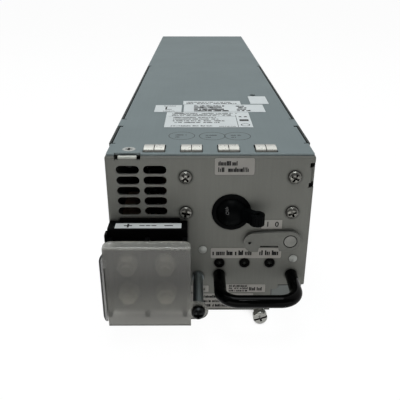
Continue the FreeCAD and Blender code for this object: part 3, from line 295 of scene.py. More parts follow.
def moulding_group():
    """Moulded plastic: a fine spark-eroded grain with slow changes of gloss and tone."""
    group, entry, leave = shader_group(
        "moulding",
        [("Vector", "NodeSocketVector", None), ("Colour", "NodeSocketColor", None),
         ("Grain", "NodeSocketFloat", 2200.0), ("Patches", "NodeSocketFloat", 0.2),
         ("Roughness", "NodeSocketFloat", 0.5)],
        FINISH_OUTPUTS)
    vector = entry.outputs["Vector"]
    slow = noise(group, vector, BLOTCH_SCALE)
    change = arithmetic(group, "MULTIPLY", spread(group, slow, -1.0, 1.0), entry.outputs["Patches"])
    roughness_change = arithmetic(group, "MULTIPLY", change, 0.25)
    grain = group.nodes.new("ShaderNodeTexVoronoi")
    grain.feature = "SMOOTH_F1"
    link = group.links.new
    link(vector, grain.inputs["Vector"])
    link(entry.outputs["Grain"], grain.inputs["Scale"])
    link(tint(group, entry.outputs["Colour"], arithmetic(group, "ADD", change, 1.0)),
         leave.inputs["Colour"])
    link(arithmetic(group, "ADD", entry.outputs["Roughness"], roughness_change),
         leave.inputs["Roughness"])
    link(grain.outputs["Distance"], leave.inputs["Height"])
    return group


def handled_metal_group():
    """Small metal pieces: plating with faint scratches and darker grime in slow patches."""
    group, entry, leave = shader_group(
        "handled_metal",
        [("Vector", "NodeSocketVector", None), ("Colour", "NodeSocketColor", None),
         ("Grime", "NodeSocketFloat", 0.25), ("Roughness", "NodeSocketFloat", 0.35)],
        FINISH_OUTPUTS)
    vector = entry.outputs["Vector"]
    clean_tone = 1.05
    grime = noise(group, vector, GRIME_SCALE, detail=4.0)
    scratched = vector_math(group, "MULTIPLY", vector, SCRATCH_STRETCH)
    scratches = noise(group, scratched, 1.0, detail=2.0, roughness=0.7)
    dirty_tone = arithmetic(group, "SUBTRACT", clean_tone, entry.outputs["Grime"])
    tone = arithmetic(group, "ADD", spread(group, grime, dirty_tone, clean_tone),
                      spread(group, scratches, -0.05, 0.05))
    link = group.links.new
    link(tint(group, entry.outputs["Colour"], tone), leave.inputs["Colour"])
    link(arithmetic(group, "ADD", entry.outputs["Roughness"], spread(group, grime, 0.08, -0.06)),
         leave.inputs["Roughness"])
    link(scratches, leave.inputs["Height"])
    return group


def corner_shade_group():
    """Painted shade in recesses, slots and the corners where pieces meet: the colour times the square of
    one minus depth times the hidden share of the sky within reach."""
    group, entry, leave = shader_group(
        "corner_shade",
        [("Colour", "NodeSocketColor", None), ("Reach", "NodeSocketFloat", 0.0014),
         ("Depth", "NodeSocketFloat", 0.9)],
        [("Colour", "NodeSocketColor")])
    sky_share = group.nodes.new("ShaderNodeAmbientOcclusion")
    sky_share.samples = SKY_SAMPLES
    group.links.new(entry.outputs["Reach"], sky_share.inputs["Distance"])
    hidden = arithmetic(group, "SUBTRACT", 1.0, sky_share.outputs["AO"])
    painted_shade = arithmetic(group, "MULTIPLY", hidden, entry.outputs["Depth"])
    unshaded = arithmetic(group, "SUBTRACT", 1.0, painted_shade)
    group.links.new(tint(group, entry.outputs["Colour"], arithmetic(group, "MULTIPLY", unshaded, unshaded)),
                    leave.inputs["Colour"])
    return group


ROLLED = rolled_sheet_group()
MOULDED = moulding_group()
HANDLED = handled_metal_group()
CORNER_SHADE = corner_shade_group()
SMOOTH = smooth_by_angle()
FINISHES = {}


def inside_box(tree, vector, low, high):
    """Mask of 1 inside a box given by two corners in metres, where the largest of the three distances
    from the box's centre, in half sizes, is under 1."""
    centre = (np.array(low) + np.array(high)) / 2
    half = (np.array(high) - np.array(low)) / 2
    moved = vector_math(tree, "SUBTRACT", vector, centre)
    sized = vector_math(tree, "ABSOLUTE", vector_math(tree, "MULTIPLY", moved, 1 / half))
    distance = coordinates(tree, sized)
    return arithmetic(tree, "LESS_THAN", largest(tree, distance["X"], distance["Y"], distance["Z"]), 1.0)


def toned_patch(tree, colour, vector, low, high, tone):
    """Colour times a tone inside a box, for painted shade and painted light."""
    change = arithmetic(tree, "MULTIPLY", inside_box(tree, vector, low, high), tone - 1.0)
    return tint(tree, colour, arithmetic(tree, "ADD", 1.0, change))


def toned_ramp(tree, colour, vector, axis, start, end, first, last):
    """Colour times a tone that passes smoothly from one value to another between two places along an
    axis, in metres."""
    place = coordinates(tree, vector)[axis]
    return tint(tree, colour, remap(tree, place, start, end, first, last, "SMOOTHSTEP"))


def empty_material(name):
    """Material with an empty node tree, and its output node."""
    material = bpy.data.materials.new(name)
    material.use_nodes = True
    tree = material.node_tree
    tree.nodes.clear()
    return material, tree, tree.nodes.new("ShaderNodeOutputMaterial")


def finish(name, group, colour, group_values, shader_values, bump, streaks=None, patches=(), corner=None,
           ramps=()):
    """Material: Object coordinates into a finish group, and its colour, roughness and height into one
    Principled BSDF. Values that are the same all over are set on the sockets themselves. Patches are boxes
    of painted shade or painted light, each with its tone, a corner is the reach and depth of the painted
    shade in corners, and ramps are tones that change along an axis. The material is kept in FINISHES under
    its name."""
    material, tree, output = empty_material(name)
    shader = tree.nodes.new("ShaderNodeBsdfPrincipled")
    place = tree.nodes.new("ShaderNodeTexCoord").outputs["Object"]
    pattern = tree.nodes.new("ShaderNodeGroup")
    pattern.node_tree = group
    pattern.inputs["Colour"].default_value = (*colour, 1.0)
    for label_text, value in group_values.items():
        pattern.inputs[label_text].default_value = value
    for label_text, value in shader_values.items():
        shader.inputs[label_text].default_value = value
    raised = tree.nodes.new("ShaderNodeBump")
    raised.inputs["Strength"].default_value = bump[0]
    raised.inputs["Distance"].default_value = bump[1] * MM
    link = tree.links.new
    link(place, pattern.inputs["Vector"])
    if streaks:
        link(vector_math(tree, "MULTIPLY", place, streaks), pattern.inputs["Streak Vector"])
    coloured = pattern.outputs["Colour"]
    for patch in patches:
        coloured = toned_patch(tree, coloured, place, *patch)
    for ramp in ramps:
        coloured = toned_ramp(tree, coloured, place, *ramp)
    # Painted shade in corners and recesses, from the hidden share of the sky within reach
    if corner:
        painted_shade = tree.nodes.new("ShaderNodeGroup")
        painted_shade.node_tree = CORNER_SHADE
        painted_shade.inputs["Reach"].default_value = corner[0] * MM
        painted_shade.inputs["Depth"].default_value = corner[1]
        link(coloured, painted_shade.inputs["Colour"])
        coloured = painted_shade.outputs["Colour"]
    link(coloured, shader.inputs["Base Color"])
    link(pattern.outputs["Roughness"], shader.inputs["Roughness"])
    link(pattern.outputs["Height"], raised.inputs["Height"])
    link(raised.outputs["Normal"], shader.inputs["Normal"])
    link(shader.outputs["BSDF"], output.inputs["Surface"])
    FINISHES[name] = material
    return tree, shader, place, output


def sheet_metal(name, colour, roughness, streaks, patches=()):
    """Zinc-coated sheet whose streaks run where the stretch factors are small."""
    finish(name, ROLLED, colour, {"Roughness": roughness, "Clouds": 0.05},
           {"Metallic": 0.25, "Specular IOR Level": 0.02, "Specular Tint": (0.3, 0.3, 0.3, 1.0)},
           SHEET_BUMP, streaks, patches, SHEET_CORNER_SHADE)


def plastic(name, colour, roughness, gloss=0.1, grain=2200.0, blotches=0.2):
    """Moulded plastic of one colour."""
    finish(name, MOULDED, colour, {"Roughness": roughness, "Grain": grain, "Patches": blotches},
           {"Specular IOR Level": gloss}, PLASTIC_BUMP)


def paper(name, colour):
    """Coated label paper, or print on it, nearly even in tone."""
    plastic(name, colour, 0.5, gloss=0.1, grain=1200.0, blotches=0.04)


def metal(name, colour, roughness, grime=0.25, metallic=1.0, gloss=0.5, recess_shade=0.9, patches=(), ramps=()):
    """Plated, turned, painted or bare metal in small pieces; the recess value is the depth of the painted
    shade in corners.
    """
    corner = (METAL_CORNER_SHADE_REACH, recess_shade) if recess_shade else None
    finish(name, HANDLED, colour, {"Roughness": roughness, "Grime": grime},
           {"Metallic": metallic, "Specular IOR Level": gloss}, METAL_BUMP,
           patches=patches, corner=corner, ramps=ramps)


def frosted(name, colour):
    """Frosted plastic sheet: rough transmission with some scattered light of its own. Its side flap is
    rougher and has no coat. Light rays on their way to what stands behind it pass with a loss."""
    tree, shader, place, output = finish(
        name, MOULDED, colour, {"Roughness": 0.24, "Grain": 3000.0, "Patches": 0.02},
        {"Transmission Weight": 0.78, "IOR": 1.3, "Specular IOR Level": 0.25, "Coat Roughness": 0.2},
        FROST_BUMP, patches=GUARD_PAINTED_SHADE_AND_LIGHT, ramps=GUARD_GLOW)
    link = tree.links.new
    flap = inside_box(tree, place, *GUARD_FLAP)
    uncoated = arithmetic(tree, "MULTIPLY", flap, GUARD_COAT)
    link(arithmetic(tree, "SUBTRACT", GUARD_COAT, uncoated), shader.inputs["Coat Weight"])
    frost = shader.inputs["Roughness"].links[0].from_socket
    rougher = arithmetic(tree, "MULTIPLY", flap, FLAP_FROST)
    link(arithmetic(tree, "ADD", frost, rougher), shader.inputs["Roughness"])
    path = tree.nodes.new("ShaderNodeLightPath")
    thin = tree.nodes.new("ShaderNodeBsdfTransparent")
    thin.inputs["Color"].default_value = GUARD_SHADOW
    choose = tree.nodes.new("ShaderNodeMixShader")
    link(path.outputs["Is Shadow Ray"], choose.inputs["Fac"])
    link(shader.outputs["BSDF"], choose.inputs[1])
    link(thin.outputs["BSDF"], choose.inputs[2])
    link(choose.outputs["Shader"], output.inputs["Surface"])


# Sheet
sheet_metal("lid_sheet", (0.215, 0.25, 0.256), 0.5, ALONG)
sheet_metal("tray_sheet", (0.205, 0.22, 0.215), 0.5, ALONG, LIP_EDGE_SHADE)
sheet_metal("front_sheet", (0.205, 0.206, 0.19), 0.55, UPRIGHT, PANEL_PAINTED_SHADE_AND_LIGHT)

# Metal in small pieces
metal("finger_steel", (0.72, 0.715, 0.66), 0.3, grime=0.12, metallic=0.45, gloss=0.2, recess_shade=0.95,
      patches=FINGER_END_SHADE, ramps=FINGER_PAINTED_REFLECTION)
metal("zinc_screw", (0.2, 0.197, 0.18), 0.18, grime=0.45, metallic=0.7, gloss=0.2)
metal("pale_zinc", (0.4, 0.41, 0.39), 0.4, grime=0.15, metallic=0.2, gloss=0.3, recess_shade=0.6,
      patches=LID_SCREW_SHANK_SHADE)
metal("swing_plate", (0.158, 0.159, 0.146), 0.5, grime=0.1, metallic=0.25, gloss=0.25)
metal("pivot_steel", (0.23, 0.23, 0.215), 0.42, grime=0.2, metallic=0.3, gloss=0.3)
metal("captive_steel", (0.33, 0.33, 0.31), 0.16, grime=0.3, metallic=0.85)
metal("black_lacquer", (0.0004, 0.0005, 0.0005), 0.08, grime=0.3, metallic=0.0, gloss=0.045, recess_shade=0.0)
metal("dark_steel", (0.33, 0.37, 0.38), 0.36, grime=0.06, gloss=0.3, recess_shade=0.3)
metal("dark_screw", (0.016, 0.017, 0.0175), 0.28, grime=0.3, gloss=0.3, recess_shade=0.97)
metal("tinned_brass", (0.62, 0.58, 0.51), 0.45, grime=0.15, metallic=0.1, gloss=0.3, recess_shade=0.5)
# Copper, painted much darker than bare copper, as the shade inside the case behind the vents
metal("copper", (0.11, 0.06, 0.034), 0.35, grime=0.4)
metal("bare_aluminium", (0.45, 0.46, 0.47), 0.4, grime=0.15)

# Plastic, ferrite and boards
plastic("breaker_case", (0.0022, 0.0024, 0.0026), 0.5, gloss=0.02)
plastic("toggle_plastic", (0.0014, 0.0018, 0.002), 0.4, gloss=0.025)
plastic("block_plastic", (0.0018, 0.002, 0.0022), 0.5, gloss=0.02)
plastic("bezel_plastic", (0.002, 0.002, 0.002), 0.4, gloss=0.03)
plastic("lamp_lens", (0.018, 0.02, 0.018), 0.3)
plastic("switch_plastic", (0.003, 0.003, 0.003), 0.5, gloss=0.05)
# The slider is painted near black, as the shade seen in the swing plate's notch
plastic("slider_plastic", (0.006, 0.006, 0.006), 0.45, gloss=0.05)
plastic("board_green", (0.015, 0.06, 0.03), 0.4, gloss=0.2, grain=900.0)
plastic("ferrite", (0.02, 0.02, 0.02), 0.6, gloss=0.2)
plastic("can_sleeve", (0.01, 0.014, 0.03), 0.3, gloss=0.3)
plastic("plug_plastic", (0.006, 0.006, 0.006), 0.5, gloss=0.15)
frosted("frosted_sheet", (0.21, 0.2075, 0.193))

# Labels and print
paper("white_label", (0.70, 0.73, 0.735))
paper("strip_white", (0.74, 0.76, 0.76))
paper("grey_label", (0.41, 0.392, 0.37))
paper("ink", (0.015, 0.015, 0.016))
paper("stamp_ink", (0.06, 0.07, 0.073))
paper("hub_paint", (0.12, 0.12, 0.12))

NODE_FINISH = {
    "front_panel": "front_sheet", "chassis_tray": "tray_sheet", "top_cover": "lid_sheet",
    "rear_panel": "tray_sheet", "emi_fingers": "finger_steel", "lid_screw": "pale_zinc",
    "breaker_screws": "zinc_screw", "board_screws": "zinc_screw", "board_standoffs": "zinc_screw",
    "panel_studs": "pale_zinc", "handle_screws": "zinc_screw", "switch_cover_plate": "swing_plate",
    "plate_pivot": "pivot_steel", "captive_screw": "captive_steel", "captive_ferrule": "captive_steel",
    "handle": "black_lacquer", "cover_standoff": "dark_steel", "cover_screw": "dark_screw",
    "breaker_body": "breaker_case", "breaker_toggle": "toggle_plastic",
    "terminal_block": "block_plastic", "led_bezels": "bezel_plastic", "leds": "lamp_lens",
    "mode_switch_body": "switch_plastic", "mode_switch_slider": "slider_plastic",
    "terminal_cover": "frosted_sheet", "terminal_studs": "tinned_brass",
    "terminal_nuts": "tinned_brass", "terminal_washers": "tinned_brass",
    "breaker_studs": "tinned_brass", "breaker_nuts": "tinned_brass", "output_blades": "tinned_brass",
    "return_bus_bar": "copper", "line_bus_bar": "copper", "load_bus_bar": "copper",
    "choke_winding": "copper", "transformer_winding": "copper", "main_board": "board_green",
    "control_board": "board_green", "choke_core": "ferrite", "transformer_core": "ferrite",
    "left_heat_sink": "bare_aluminium", "right_heat_sink": "bare_aluminium",
    "filter_capacitors": "can_sleeve", "output_plug": "plug_plastic",
}
for node_name, finish_name in NODE_FINISH.items():
    solid = nodes[node_name]
    solid.data.materials.clear()
    solid.data.materials.append(FINISHES[finish_name])
    solid.modifiers.new("smooth", "NODES").node_group = SMOOTH

# Labels and print, in millimetres: a label's thickness, how far print lies off the face, and how far a
# stamp does, which has no label under it; then points to a rounded corner and to a ring, and how much
# bolder than the font the lettering is, as a share of its size
LABEL_THICKNESS = 0.12
PRINT_LIFT = 0.14
STAMP_LIFT = 0.03
CORNER_STEPS = 7
RING_STEPS = 48
TEXT_WEIGHT = 0.02

# Make-believe print: cells in a row, then shares of the row's height or of the cell's width
ROW_CELLS = 80
CELL_WIDTHS = (0.52, 0.7)
TICK_WIDTHS = (0.2, 0.3)
SHORT_TICK = 0.74
SHORT_SHARE = 0.6
SECOND_TICK = 0.48
TICK_SHARES = np.array([0.97, 0.75])
GAP_SHARE = 0.11

# Screw threads: steps to a turn, then the ridge's half width and height in pitches, and how far its foot
# lies under the rod's surface in millimetres
THREAD_STEPS = 20
RIDGE_HALF_WIDTH = 0.42
RIDGE_HEIGHT = 0.16
RIDGE_SINK = 0.02


def piece(name, points, faces, finish_name, body="case"):
    """Mesh object from points in metres and faces, riding on a CAD body."""
    mesh = bpy.data.meshes.new(name)
    mesh.from_pydata(np.asarray(points).reshape(-1, 3).tolist(), [],
                     [list(map(int, face)) for face in faces])
    mesh.materials.append(FINISHES[finish_name])
    mesh.update()
    made = bpy.data.objects.new(name, mesh)
    bpy.context.scene.collection.objects.link(made)
    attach(made, body)


def onto(face, across, up, out):
    """Points at millimetres across, up and out of a face: its corner plus each distance times its
    direction."""
    corner, along, rise, away = FACES[face]
    across, up, out = np.broadcast_arrays(across, up, out)
    return corner + MM * (across[..., None] * along + up[..., None] * rise + out[..., None] * away)


def band(count):
    """Quads between two closed rings of points, the second numbered after the first."""
    ring = np.arange(count)
    following = np.roll(ring, -1)
    return np.stack([ring, following, following + count, ring + count], axis=1)


def label(name, face, box, radius, finish_name):
    """Stuck-on label over a box (left, right, low, high): a rounded rectangle, each corner's centre plus
    the radius turned through a quarter circle, raised to two heights and closed by a front and a back."""
    left, right, low, high = box
    turn = np.linspace(0, np.pi / 2, CORNER_STEPS) + np.arange(4)[:, None] * np.pi / 2
    centre_across = np.array([right - radius, left + radius, left + radius, right - radius])
    centre_up = np.array([high - radius, high - radius, low + radius, low + radius])
    across = (centre_across[:, None] + radius * np.cos(turn)).ravel()
    up = (centre_up[:, None] + radius * np.sin(turn)).ravel()
    count = across.size
    points = np.concatenate([onto(face, across, up, 0.0), onto(face, across, up, LABEL_THICKNESS)])
    ring = np.arange(count)
    faces = [*band(count).tolist(), (ring + count).tolist(), ring[::-1].tolist()]
    piece(name, points, faces, finish_name)


def strokes(name, face, groups, lift=PRINT_LIFT, finish_name="ink"):
    """Printed strokes: one flat rectangle for each row (left, right, low, high) of the groups."""
    boxes = np.concatenate([np.asarray(group, float).reshape(-1, 4) for group in groups])
    points = onto(face, boxes[:, [0, 1, 1, 0]], boxes[:, [2, 2, 3, 3]], lift)
    piece(name, points, np.arange(boxes.shape[0] * 4).reshape(-1, 4), finish_name)


def print_rows(left, rows, seed, weight=1.0):
    """Boxes of make-believe print, in plain upright ticks. Each row is (low, height, length). Cells of
    seeded random width are laid side by side by adding up their widths; a cell holds up to two ticks,
    full height or shorter; some cells stay empty as gaps, and those past the row's length are dropped."""
    rng = np.random.default_rng(seed)
    rows = np.asarray(rows, float)
    height = rows[:, 1:2]
    cell = height * rng.uniform(*CELL_WIDTHS, (len(rows), ROW_CELLS))
    start = left + np.cumsum(cell, axis=1) - cell
    tick = weight * height * rng.uniform(*TICK_WIDTHS, cell.shape)
    low = np.broadcast_to(rows[:, 0:1], cell.shape)
    top = low + height * np.where(rng.random((2, *cell.shape)) < SHORT_SHARE, SHORT_TICK, 1.0)
    second = start + cell * SECOND_TICK
    ticks = np.stack([
        np.stack([start, start + tick, low, top[0]], axis=-1),
        np.stack([second, second + tick, low, top[1]], axis=-1)], axis=-2)
    kept = rng.random(ticks.shape[:3]) < TICK_SHARES
    written = (rng.random(cell.shape) > GAP_SHARE) & (start + cell < left + rows[:, 2:3])
    return ticks[kept & written[..., None]]


def flat_text(text, size, spin=0):
    """Characters of the built-in font, filled flat and made a mesh, then turned in their own plane:
    points across and up in millimetres, and faces."""
    curve = bpy.data.curves.new("text_" + text, "FONT")
    curve.body = text
    curve.size = size * MM
    curve.offset = TEXT_WEIGHT * size * MM
    curve.align_x = "CENTER"
    curve.align_y = "CENTER"
    holder = bpy.data.objects.new("text_" + text, curve)
    bpy.context.scene.collection.objects.link(holder)
    bpy.context.view_layer.update()
    flat = bpy.data.meshes.new_from_object(holder.evaluated_get(bpy.context.evaluated_depsgraph_get()))
    bpy.data.objects.remove(holder)
    points = np.zeros(len(flat.vertices) * 3)
    flat.vertices.foreach_get("co", points)
    points = points.reshape(-1, 3) / MM
    faces = [list(polygon.vertices) for polygon in flat.polygons]
    bpy.data.meshes.remove(flat)
    turn = math.radians(spin)
    across = points[:, 0] * math.cos(turn) - points[:, 1] * math.sin(turn)
    up = points[:, 0] * math.sin(turn) + points[:, 1] * math.cos(turn)
    return across, up, faces


def lettering(name, text, size, centre):
    """Flat characters printed on the front face about a centre."""
    across, up, faces = flat_text(text, size)
    piece(name, onto("front", centre[0] + across, centre[1] + up, PRINT_LIFT), faces, "ink")


def hub_lettering(name, text, size, spin, centre, radius, toward, finish_name, body):
    """Characters laid on a ball: each point on the plane that touches the ball is drawn back along its
    line to the ball's centre, until it is one radius away."""
    across, up, faces = flat_text(text, size, spin)
    out = np.array(toward) / np.linalg.norm(toward)
    side = np.cross(out, UP)
    side /= np.linalg.norm(side)
    rise = np.cross(side, out)
    reach = out * radius + across[:, None] * side + up[:, None] * rise
    reach *= radius / np.linalg.norm(reach, axis=1, keepdims=True)
    points = np.array(centre) + reach
    piece(name, onto("front", points[:, 0], points[:, 2], -points[:, 1]), faces, finish_name, body)


def ring_print(name, face, centre, radius, width, lift=PRINT_LIFT, finish_name="ink"):
    """Printed ring: two circles about a centre, joined by quads."""
    turn = np.linspace(0, 2 * np.pi, RING_STEPS + 1)[:-1]
    radii = np.array([radius, radius - width])[:, None]
    points = onto(face, centre[0] + radii * np.cos(turn), centre[1] + radii * np.sin(turn), lift)
    piece(name, points, band(RING_STEPS), finish_name)


def thread(name, axis_point, radius, start, end, pitch, finish_name, body="case"):
    """Screw thread along Y: a three-point ridge carried round a helix, whose angle grows by one turn
    for each pitch that it moves along the axis. The ridge sinks into the rod at both ends."""
    turns = (end - start) / pitch
    travel = np.linspace(0, 1, int(turns * THREAD_STEPS) + 1)
    turn = 2 * np.pi * turns * travel
    fade = np.clip(np.minimum(travel, 1 - travel) * turns * 2, 0, 1)
    offset = np.array([-RIDGE_HALF_WIDTH, 0.0, RIDGE_HALF_WIDTH]) * pitch
    crest = np.array([0.0, 1.0, 0.0])
    reach = radius + fade[:, None] * crest * RIDGE_HEIGHT * pitch - RIDGE_SINK
    along = start + (end - start) * travel[:, None] + offset
    points = onto("front", axis_point[0] + reach * np.cos(turn)[:, None],
                  axis_point[1] + reach * np.sin(turn)[:, None], -along)
    rows, columns = points.shape[:2]
    first = (np.arange(rows - 1)[:, None] * columns + np.arange(columns - 1)).ravel()
    faces = np.stack([first, first + columns, first + columns + 1, first + 1], axis=1)
    piece(name, points, faces, finish_name, body)


# Front labels, in millimetres from the centre and the underside
label("breaker_label", "front", (2.1, 21.4, 79.4, 88.0), 0.9, "grey_label")
strokes("breaker_print", "front", [
    print_rows(3.8, [(84.2, 2.3, 10.2)], seed=3), print_rows(3.8, [(80.9, 2.4, 16.6)], seed=4)])
label("throw_label", "front", (26.2, 36.7, 50.0, 54.9), 0.15, "grey_label")
lettering("throw_on", "1", size=3.9, centre=(29.4, 52.4))
lettering("throw_off", "0", size=3.9, centre=(34.0, 52.4))
HUB_CENTRE = (10.8, 3.0, 59.3)
HUB_PRINT_RADIUS = 8.23
HUB_PRINT_TOWARD = (-2.6, -7.3, 2.7)
hub_lettering("hub_off", "OFF", size=2.3, spin=72, centre=HUB_CENTRE, radius=HUB_PRINT_RADIUS,
              toward=HUB_PRINT_TOWARD, finish_name="hub_paint", body="toggle")
label("lamp_label", "front", (0.6, 37.3, 32.7, 38.8), 0.9, "grey_label")
strokes("lamp_print", "front", [
    print_rows(1.5, [(34.5, 2.9, 10.6)], seed=5), print_rows(13.2, [(34.5, 2.9, 10.1)], seed=6),
    print_rows(25.0, [(34.5, 2.9, 12.0)], seed=7)])
label("serial_label", "front", (4.0, 30.1, 11.6, 16.5), 0.4, "grey_label")
strokes("serial_print", "front", [
    print_rows(10.5, [(12.0, 1.2, 10.5), (13.6, 1.2, 10.5), (15.0, 1.2, 10.5)], seed=8),
    print_rows(21.4, [(12.6, 2.2, 8.0)], seed=9)])
label("small_label", "front", (-10.5, -0.3, 11.8, 15.8), 0.4, "grey_label")
strokes("small_print", "front", [print_rows(-9.6, [(12.7, 1.8, 8.2)], seed=10)])
label("torque_label", "front", (-10.5, 23.9, 1.1, 10.7), 0.4, "grey_label")
strokes("torque_print", "front", [
    print_rows(-8.6, [(8.0, 1.7, 28.0), (5.1, 1.7, 30.0), (2.2, 1.7, 29.0)], seed=11)])

# Strip on the terminal block, with a plus, a dashed line and a minus
PLUS = [(-42.6, -38.6, -6.0, -5.1), (-41.05, -40.15, -7.5, -3.6)]
DASHES = [(-35.0, -32.4, -5.9, -5.1), (-31.8, -29.6, -5.9, -5.1), (-29.0, -26.6, -5.9, -5.1)]
MINUS = [(-22.6, -18.4, -6.0, -5.1)]
label("polarity_strip", "block", (-47.0, -14.2, -8.2, -2.9), 0.3, "strip_white")
strokes("polarity_marks", "block", [PLUS, DASHES, MINUS])

# Lid labels, in millimetres from the centre and the front face
RATING_RULES = [(-23.5, 16.6, 68.2, 68.5), (16.6, 16.9, 45.6, 71.0)]
RATING_BLOTS = [(-20.0, -15.0, 74.6, 77.0), (18.4, 20.0, 66.4, 68.4), (21.6, 23.2, 66.4, 68.4),
                (18.3, 23.6, 57.8, 61.6)]
CORNER_MARK = [(-26.4, -25.4, 84.6, 92.0), (-25.4, -22.4, 84.6, 85.6)]
STAMP_CENTRES = ((-14.5, 29.7), (1.6, 29.1), (15.0, 29.0))
STAMP_SEED = 30
label("rating_label", "lid", (-24.9, 25.0, 45.2, 78.2), 0.3, "white_label")
strokes("rating_print", "lid", [
    print_rows(-21.5, [(74.6, 1.5, 40.0), (71.8, 1.2, 36.0), (69.6, 1.2, 36.0)], seed=12, weight=1.4),
    print_rows(-20.5, [(64.6, 1.7, 26.0), (61.4, 1.7, 28.0), (57.6, 1.7, 31.0), (54.2, 1.7, 27.0)],
               seed=13, weight=1.4),
    print_rows(-22.5, [(47.0, 1.8, 25.0)], seed=14), print_rows(6.0, [(46.4, 1.0, 9.5)], seed=15),
    RATING_RULES, RATING_BLOTS])
ring_print("rating_ring", "lid", (21.0, 50.0), radius=2.6, width=0.5)
label("part_label", "lid", (-14.8, 36.0, 78.8, 97.4), 0.3, "white_label")
strokes("part_print", "lid", [
    print_rows(-8.4, [(80.2, 2.9, 22.0), (84.0, 2.9, 20.0), (88.0, 2.9, 18.0), (92.2, 2.9, 21.0)],
               seed=16, weight=2.0),
    print_rows(18.4, [(80.8, 2.4, 10.0), (84.4, 2.4, 8.0), (88.2, 2.4, 6.5), (92.0, 2.4, 6.5)],
               seed=17, weight=2.0)])
label("strip_label", "lid", (-15.5, 22.1, 97.8, 107.6), 0.3, "white_label")
strokes("strip_print", "lid", [
    print_rows(-13.4, [(99.6, 1.9, 33.0), (103.0, 1.6, 30.0)], seed=18, weight=1.4)])
label("corner_label", "lid", (-33.0, -16.1, 78.9, 96.2), 0.3, "white_label")
strokes("corner_print", "lid", [
    print_rows(-27.6, [(93.0, 1.4, 8.0)], seed=19), CORNER_MARK,
    print_rows(-27.6, [(80.2, 1.3, 8.0)], seed=20)])
label("blank_label", "lid", (28.5, 40.5, 99.5, 121.2), 0.3, "white_label")
for number, (across, back) in enumerate(STAMP_CENTRES):
    ring_print(f"stamp_ring_{number}", "lid", (across, back), radius=7.0, width=0.35, lift=STAMP_LIFT,
               finish_name="stamp_ink")
    stamp_rows = [(back + 0.6, 1.5, 6.8), (back - 3.0, 1.5, 3.4)]
    strokes(f"stamp_print_{number}", "lid", [print_rows(across - 3.4, stamp_rows, STAMP_SEED + number)],
            STAMP_LIFT, "stamp_ink")

# Threads on the input studs and on the captive screw's end
THREAD_PITCH = 0.8
STUD_PLACES = [(x, z) for x in (-40.125, -21.675) for z in (24.45, 40.35)]
CAPTIVE_AXIS = (26.5, 4.15)
for number, stud_place in enumerate(STUD_PLACES):
    thread(f"stud_thread_{number}", stud_place, radius=2.5, start=-24.8, end=-22.8, pitch=THREAD_PITCH,
           finish_name="tinned_brass")
thread("captive_thread", CAPTIVE_AXIS, radius=1.95, start=2.0, end=10.2, pitch=THREAD_PITCH,
       finish_name="captive_steel", body="fixing_screw")

# Studio: the floor just above the underside, so that the two faces don't share a plane, its glow to the
# camera, its share of lamplight, its grey to other rays, and the shadow under the part
FLOOR_HALF = 8
FLOOR_RISE = 0.02 * MM
FLOOR_GLOW = 0.965
FLOOR_LIT = (0.06, 0.06, 0.06, 1.0)
FLOOR_GREY = (0.86, 0.86, 0.85, 1.0)
SHADOW_REACH = 16 * MM
SHADOW_SKY = (0.1, 0.45)
SHADOW_TONE = 0.4

# Sky: its light on the part, and how far it dims in reflections of what lies in front of the part
SKY_GREY = (0.1, 0.1, 0.1, 1.0)
SKY_WHITE = (1.0, 1.0, 1.0, 1.0)
SKY_DIM_WAYS = (-0.5, -0.1)
SKY_DIM_TONES = (0.15, 1.0)

# Lamps: place, point faced, width, watts and colour
COOL = (0.95, 1.0, 1.01)
NEUTRAL = (1.0, 1.0, 1.0)
WARM = (1.0, 0.99, 0.95)
LAMPS = {
    "overhead": ((0.0, -0.26, 1.3), (0.0, -0.14, 0.09), 0.7, 8.3, COOL),
    "rear_top": ((-0.12, front_y + 0.5, 0.85), (0.0, front_y + 0.05, 0.09), 0.12, 1.45, COOL),
    "front_top": ((0.1, front_y - 0.8, 1.2), (0.0, front_y, 0.05), 0.1, 0.95, NEUTRAL),
    "table_bounce": ((-0.02, front_y - 0.11, 0.004), (0.02, front_y, 0.02), 0.1, 0.047, WARM),
    "table_right": ((0.08, front_y - 0.1, 0.004), (0.02, front_y, 0.02), 0.08, 0.017, WARM),
    "underside": ((0.0, -0.2, -1.2), (0.0, 0.0, 0.0), 0.7, 6.0, NEUTRAL),
}

# Camera, fitted to the photograph: millimetres of film and lens, the nearest distance seen, the place, and
# degrees down, over and aside
FILM_WIDTH = 36.0
LENS = 46.29
NEAREST = 0.01
CAMERA_PLACE = from_front(-6.2, -232.6, 170.6)
CAMERA_DOWN = 24.21
CAMERA_ROLL = -0.05
CAMERA_ASIDE = -0.28


def seen_rays(tree, path):
    """1 for rays from the camera, reflected or through glass, and 0 for other rays."""
    return largest(tree, path.outputs["Is Camera Ray"], path.outputs["Is Glossy Ray"],
                   path.outputs["Is Transmission Ray"])


